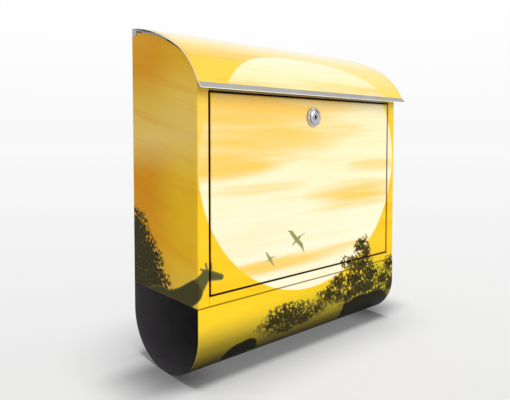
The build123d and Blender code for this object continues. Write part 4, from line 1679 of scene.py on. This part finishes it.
# ---------------------------------------------------------------------------- hood
@dataclass
class Hood:
    """The arched lid, with its bent lip in front and knuckles rolled round the rod behind."""

    sheet: float = 1.2 * MM
    rear_radius: float = 285.0 * MM
    front_radius: float = 106.0 * MM
    rear_angle: float = math.radians(7.0)
    break_angle: float = math.radians(30.0)
    end_angle: float = math.radians(63.6)
    lip_angle: float = math.radians(47.0)
    lip_length: float = 8.5 * MM
    rear_edge: Pair = (-12.0 * MM, 167.7 * MM)
    knuckle_radius: float = 3.75 * MM
    knuckle_from: float = 7.6 * MM
    knuckle_to: float = 181.4 * MM
    knuckle_turn: float = 345.0
    knuckle_fit: float = 0.97
    knuckle_ease: float = 0.15 * MM
    edge_round: float = 0.3 * MM
    arc_steps: int = 24
    print_start: float = 87.0 * MM
    print_run: float = 155.0 * MM

    def __post_init__(self) -> None:
        """Works out the centres of the two arcs."""
        self.rear_centre = (self.rear_edge[0] + self.rear_radius * math.sin(self.rear_angle),
                            self.rear_edge[1] - self.rear_radius * math.cos(self.rear_angle))
        step = self.rear_radius - self.front_radius
        self.front_centre = (self.rear_centre[0] - step * math.sin(self.break_angle),
                             self.rear_centre[1] + step * math.cos(self.break_angle))

    def _arch(self, centre: Pair, radius: float, start: float, end: float) -> list[Pair]:
        """Gives points of an arc of the hood, at angles from the vertical towards the front."""
        return arc(centre, radius, 90 + math.degrees(start), 90 + math.degrees(end), self.arc_steps)

    def build(self, shop: Workshop) -> None:
        """Makes the lid with its knuckles.

        Args:
            shop: The finishes and trees.
        """
        low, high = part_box("hood")
        arch = self._arch(self.rear_centre, self.rear_radius, self.rear_angle, self.break_angle)
        arch += self._arch(self.front_centre, self.front_radius, self.break_angle, self.end_angle)[1:]
        end = arch[-1]
        lip = (end[0] - self.lip_length * math.cos(self.lip_angle),
               end[1] - self.lip_length * math.sin(self.lip_angle))
        section = [lip] + arch[::-1]
        run = lengths(section)
        heights = [self.print_start + distance - run[1] for distance in run]
        piece = shop.sheets.draw("hood_sheet", section, heights, low.x, high.x, shop.printed)
        dress(piece, shop.printed, shop.inside, shop.edge, shop.lip, shop.inside, shop.edge)
        for face in piece.data.polygons:
            if face.center.y < end[0]:
                face.material_index = 3
        thicken(piece, self.sheet, self.edge_round)
        finish_piece(piece, "hood", Slot.PRINT, "hood")
        self._knuckles(shop)

    def _knuckles(self, shop: Workshop) -> None:
        """Rolls the rear edge round the rod on both sides of the middle bracket.

        Args:
            shop: The finishes and trees.
        """
        hinge = next(joint for joint in frame["joints"] if joint["name"] == "hood_hinge")
        rod = tuple(hinge["pos_m"][1:])
        turn = 90 + math.degrees(self.rear_angle)
        section = [self.rear_edge] + arc(rod, self.knuckle_radius, turn, turn - self.knuckle_turn, 40)
        heights = [self.print_start + self.print_run] * len(section)
        for side, name in ((-1, "hood_knuckle_left"), (1, "hood_knuckle_right")):
            ends = sorted((side * self.knuckle_from, side * self.knuckle_to))
            piece = shop.sheets.draw(name, section, heights, ends[0], ends[1], shop.printed)
            dress(piece, shop.edge, shop.inside, shop.edge)
            thicken(piece, self.sheet * self.knuckle_fit, self.knuckle_ease)
            finish_piece(piece, "hood", Slot.PRINT)


# ---------------------------------------------------------------------------- door
@dataclass
class Door:
    """The shallow folded pan that closes the front, with the barrel's hole in its face."""

    node: str = "front_door"
    sheet: float = 1.0 * MM
    bend: float = 2.0 * MM
    corner_steps: int = 6
    hole_radius: float = 9.1 * MM
    hole_steps: int = 40
    painted_shade_from: float = 0.4

    def build(self, shop: Workshop) -> None:
        """Makes the pan and dresses it.

        Args:
            shop: The finishes and trees.
        """
        low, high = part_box(self.node)
        lock_low, lock_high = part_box("lock_housing")
        lock_z = (lock_low.z + lock_high.z) / 2
        steps = self.corner_steps

        def loop(shape: BMesh, inset: float, y: float) -> list[bmesh.types.BMVert]:
            """Adds a rounded rectangle round the pan.

            Args:
                shape: Receives the corners.
                inset: How far it lies in from the pan's edge.
                y: Where it lies along Y.

            Returns:
                Its vertices in order.
            """
            radius = max(self.bend - inset, 0.0)
            found = []
            corners = ((high.x, high.z, 0), (low.x, high.z, 90),
                       (low.x, low.z, 180), (high.x, low.z, 270))
            for x, z, start in corners:
                up = self.bend if z == high.z else -self.bend
                centre = (x - math.copysign(self.bend, x), z - up)
                for px, pz in arc(centre, radius, start, start + 90, steps):
                    found.append(shape.verts.new((px, y, pz)))
            return found

        def fill(shape: BMesh) -> None:
            """Adds the turned edges, the folds and the pierced face.

            Args:
                shape: Receives the geometry.
            """
            rows = [(0.0, high.y)]
            for step in range(steps + 1):
                angle = math.pi / 2 * step / steps
                inset, back = 1 - math.cos(angle), 1 - math.sin(angle)
                rows.append((self.bend * inset, low.y + self.bend * back))
            loops = [loop(shape, inset, y) for inset, y in rows]
            for outer, inner in zip(loops, loops[1:]):
                count = len(outer)
                for index in range(count):
                    after = (index + 1) % count
                    shape.faces.new([outer[index], inner[index], inner[after], outer[after]])
            bmesh.ops.remove_doubles(shape, verts=shape.verts, dist=MM / 1000)
            rim = [edge for edge in shape.edges
                   if edge.is_boundary and edge.verts[0].co.y < low.y + HAIR]
            circle = arc((0.0, lock_z), self.hole_radius, 0, 360, self.hole_steps)[:-1]
            hole = [shape.verts.new((x, low.y, z)) for x, z in circle]
            rim += [shape.edges.new((hole[index - 1], hole[index])) for index in range(len(hole))]
            bmesh.ops.triangle_fill(shape, use_beauty=True, edges=rim, normal=(0, -1, 0))
            bmesh.ops.recalc_face_normals(shape, faces=shape.faces)
            if sum(face.normal.y * face.calc_area() for face in shape.faces) > 0:
                bmesh.ops.reverse_faces(shape, faces=shape.faces)

        piece = mesh_from(self.node + "_pan", fill)
        paint_uv(piece, lambda place: (place.x, place.z))
        dress(piece, shop.printed, shop.inside, shop.inside)
        # Faces past part of the fold take the dark inside coat: painted shade where the rounded edge
        # turns from the light.
        for face in piece.data.polygons:
            if face.center.y > low.y + self.bend * self.painted_shade_from:
                face.material_index = 1
        thicken(piece, self.sheet)
        finish_piece(piece, "door", Slot.PRINT, self.node)


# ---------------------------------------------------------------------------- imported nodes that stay
@dataclass
class PackedPieces:
    """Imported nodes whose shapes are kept, each with its own finish."""

    def dress(self, shop: Workshop) -> None:
        """Gives every kept node its material.

        Args:
            shop: The finishes and trees.
        """
        finishes = {
            shop.printed_flat: ("floor_panel",),
            shop.printed_shaded: ("header_rail",),
            shop.inside: ("back_panel", "inlet_plate"),
            shop.polymer: ("hinge_bracket", "hinge_block_left", "hinge_block_right"),
            shop.nickel: ("lock_housing", "lock_nut"),
            shop.plug: ("lock_core",),
            shop.zinc: ("hinge_rivets", "hood_hinge_rod", "door_hinge_pins", "door_pin_clips", "lock_cam",
                        "lock_cam_washer", "lock_cam_screw"),
            shop.brass: ("lock_wafers",),
            shop.rubber: ("lock_gasket", "door_hinge_washers"),
        }
        for material, nodes in finishes.items():
            for name in nodes:
                dress(frame["nodes"][name], material)
                LOG.info("%s keeps its packed shape", name)


# ---------------------------------------------------------------------------- studio
@dataclass(frozen=True)
class Lamp:
    """A lamp so far off that it lights everything evenly.

    Attributes:
        name: Its name.
        towards: Direction from the box to it.
        strength: Its strength.
        spread: How wide it looks from the box, in degrees.
    """

    name: str
    towards: Place
    strength: float
    spread: float

    def build(self) -> Piece:
        """Puts the lamp into the scene.

        Returns:
            The lamp.
        """
        data = bpy.data.lights.new(self.name, "SUN")
        data.energy, data.angle = self.strength, math.radians(self.spread)
        lamp = bpy.data.objects.new(self.name, data)
        lamp.rotation_euler = Vector(self.towards).to_track_quat("Z", "Y").to_euler()
        bpy.context.scene.collection.objects.link(lamp)
        return lamp


@dataclass
class Studio:
    """Camera, soft light, floor and backdrop.

    Attributes:
        eye: The camera's place in metres.
        bearing: Its turn to the right of straight ahead, in degrees.
        dip: Its tilt below level, in degrees.
        lens: Focal length for a sensor 36 mm wide, in millimetres.
        shift: How far the view is moved down, as a share of its width.
        floor_radius: How far the floor reaches, in metres.
        sky_strength: Strength of the even light from all round.
        box_lamps: Lamps that leave the floor out.
        floor_lamp: The lamp that lights only the floor.
    """

    eye: Place = (-0.5126, -0.6230, 0.0267)
    bearing: float = 40.84
    dip: float = 2.56
    lens: float = 35.87
    shift: float = -0.08
    floor_radius: float = 20.0
    sky_strength: float = 0.53
    box_lamps: tuple[Lamp, ...] = (Lamp("front_lamp", (0.32, -0.8, 0.5), 1.64, 50),
                                   Lamp("top_lamp", (0.5, 0.35, 1.1), 0.5, 60))
    floor_lamp: Lamp = Lamp("floor_lamp", (0.0, -0.08, 1.0), 8.5, 28)

    def build(self) -> None:
        """Sets everything up."""
        self._camera()
        self._air()
        self._stage()
        bpy.context.scene.view_settings.view_transform = "Standard"

    def _camera(self) -> None:
        """Puts the camera in front, to the left of the box."""
        data = bpy.data.cameras.new("camera")
        data.sensor_width, data.lens, data.shift_y = 36.0, self.lens, self.shift
        data.clip_start, data.clip_end = 0.01, 200.0
        camera = bpy.data.objects.new("camera", data)
        camera.location = self.eye
        camera.rotation_euler = (math.radians(90 - self.dip), 0, math.radians(-self.bearing))
        bpy.context.scene.collection.objects.link(camera)
        bpy.context.scene.camera = camera

    def _air(self) -> None:
        """Adds even light from all round."""
        world = bpy.data.worlds.new("studio_air")
        world.use_nodes = True
        background = world.node_tree.nodes["Background"]
        background.inputs["Color"].default_value = (1, 1, 1, 1)
        background.inputs["Strength"].default_value = self.sky_strength
        bpy.context.scene.world = world

    def _stage(self) -> None:
        """Adds the floor, the lamps and a backdrop that only the camera sees."""
        floor_z = cad_bounds[0][2]
        radius = self.floor_radius

        def floor_shape(shape: BMesh) -> None:
            """Adds a disc."""
            bmesh.ops.create_circle(shape, cap_ends=True, segments=64, radius=radius)
            bmesh.ops.translate(shape, verts=shape.verts, vec=(0, 0, floor_z))

        floor = mesh_from("studio_floor", floor_shape)
        dress(floor, StageCard("floor_card").build())

        def dome_shape(shape: BMesh) -> None:
            """Adds a band round the floor."""
            bmesh.ops.create_cone(shape, segments=64, radius1=radius, radius2=radius, depth=2 * radius)

        states = [(lamp, "EXCLUDE") for lamp in self.box_lamps] + [(self.floor_lamp, "INCLUDE")]
        for plan, state in states:
            lamp = plan.build()
            lit = bpy.data.collections.new(lamp.name + "_lit")
            lit.objects.link(floor)
            lit.collection_objects[0].light_linking.link_state = state
            lamp.light_linking.receiver_collection = lit

        dome = mesh_from("studio_backdrop", dome_shape)
        material = bpy.data.materials.new("backdrop_glow")
        material.use_nodes = True
        w = NodeWriter(material.node_tree)
        rise = w.span(w.split(object_place(w))[2], 0.0, radius * 0.3, smooth=False)
        light = w.add("ShaderNodeEmission")
        w.feed(light.inputs["Color"], w.ramp(rise, ((0.0, (0.94, 0.94, 0.94, 1)), (0.8, (1, 1, 1, 1)))))
        w.feed(material.node_tree.nodes["Material Output"].inputs[0], light.outputs[0])
        dress(dome, material)
        for ray in ("visible_diffuse", "visible_glossy", "visible_transmission", "visible_shadow",
                    "visible_volume_scatter"):
            setattr(dome, ray, False)


def main() -> None:
    """Builds the box, its finishes and the studio."""
    logging.basicConfig(level=logging.INFO, format="%(message)s")
    shop = Workshop()
    hood = Hood()
    hood.build(shop)
    for node, side in (("left_side_panel", -1), ("right_side_panel", 1)):
        SidePanel(node, side).build(shop, hood)
    NewspaperRoll().build(shop)
    Bumpers().build(shop)
    Door().build(shop)
    PackedPieces().dress(shop)
    Studio().build()


if __name__ == "__main__":
    main()
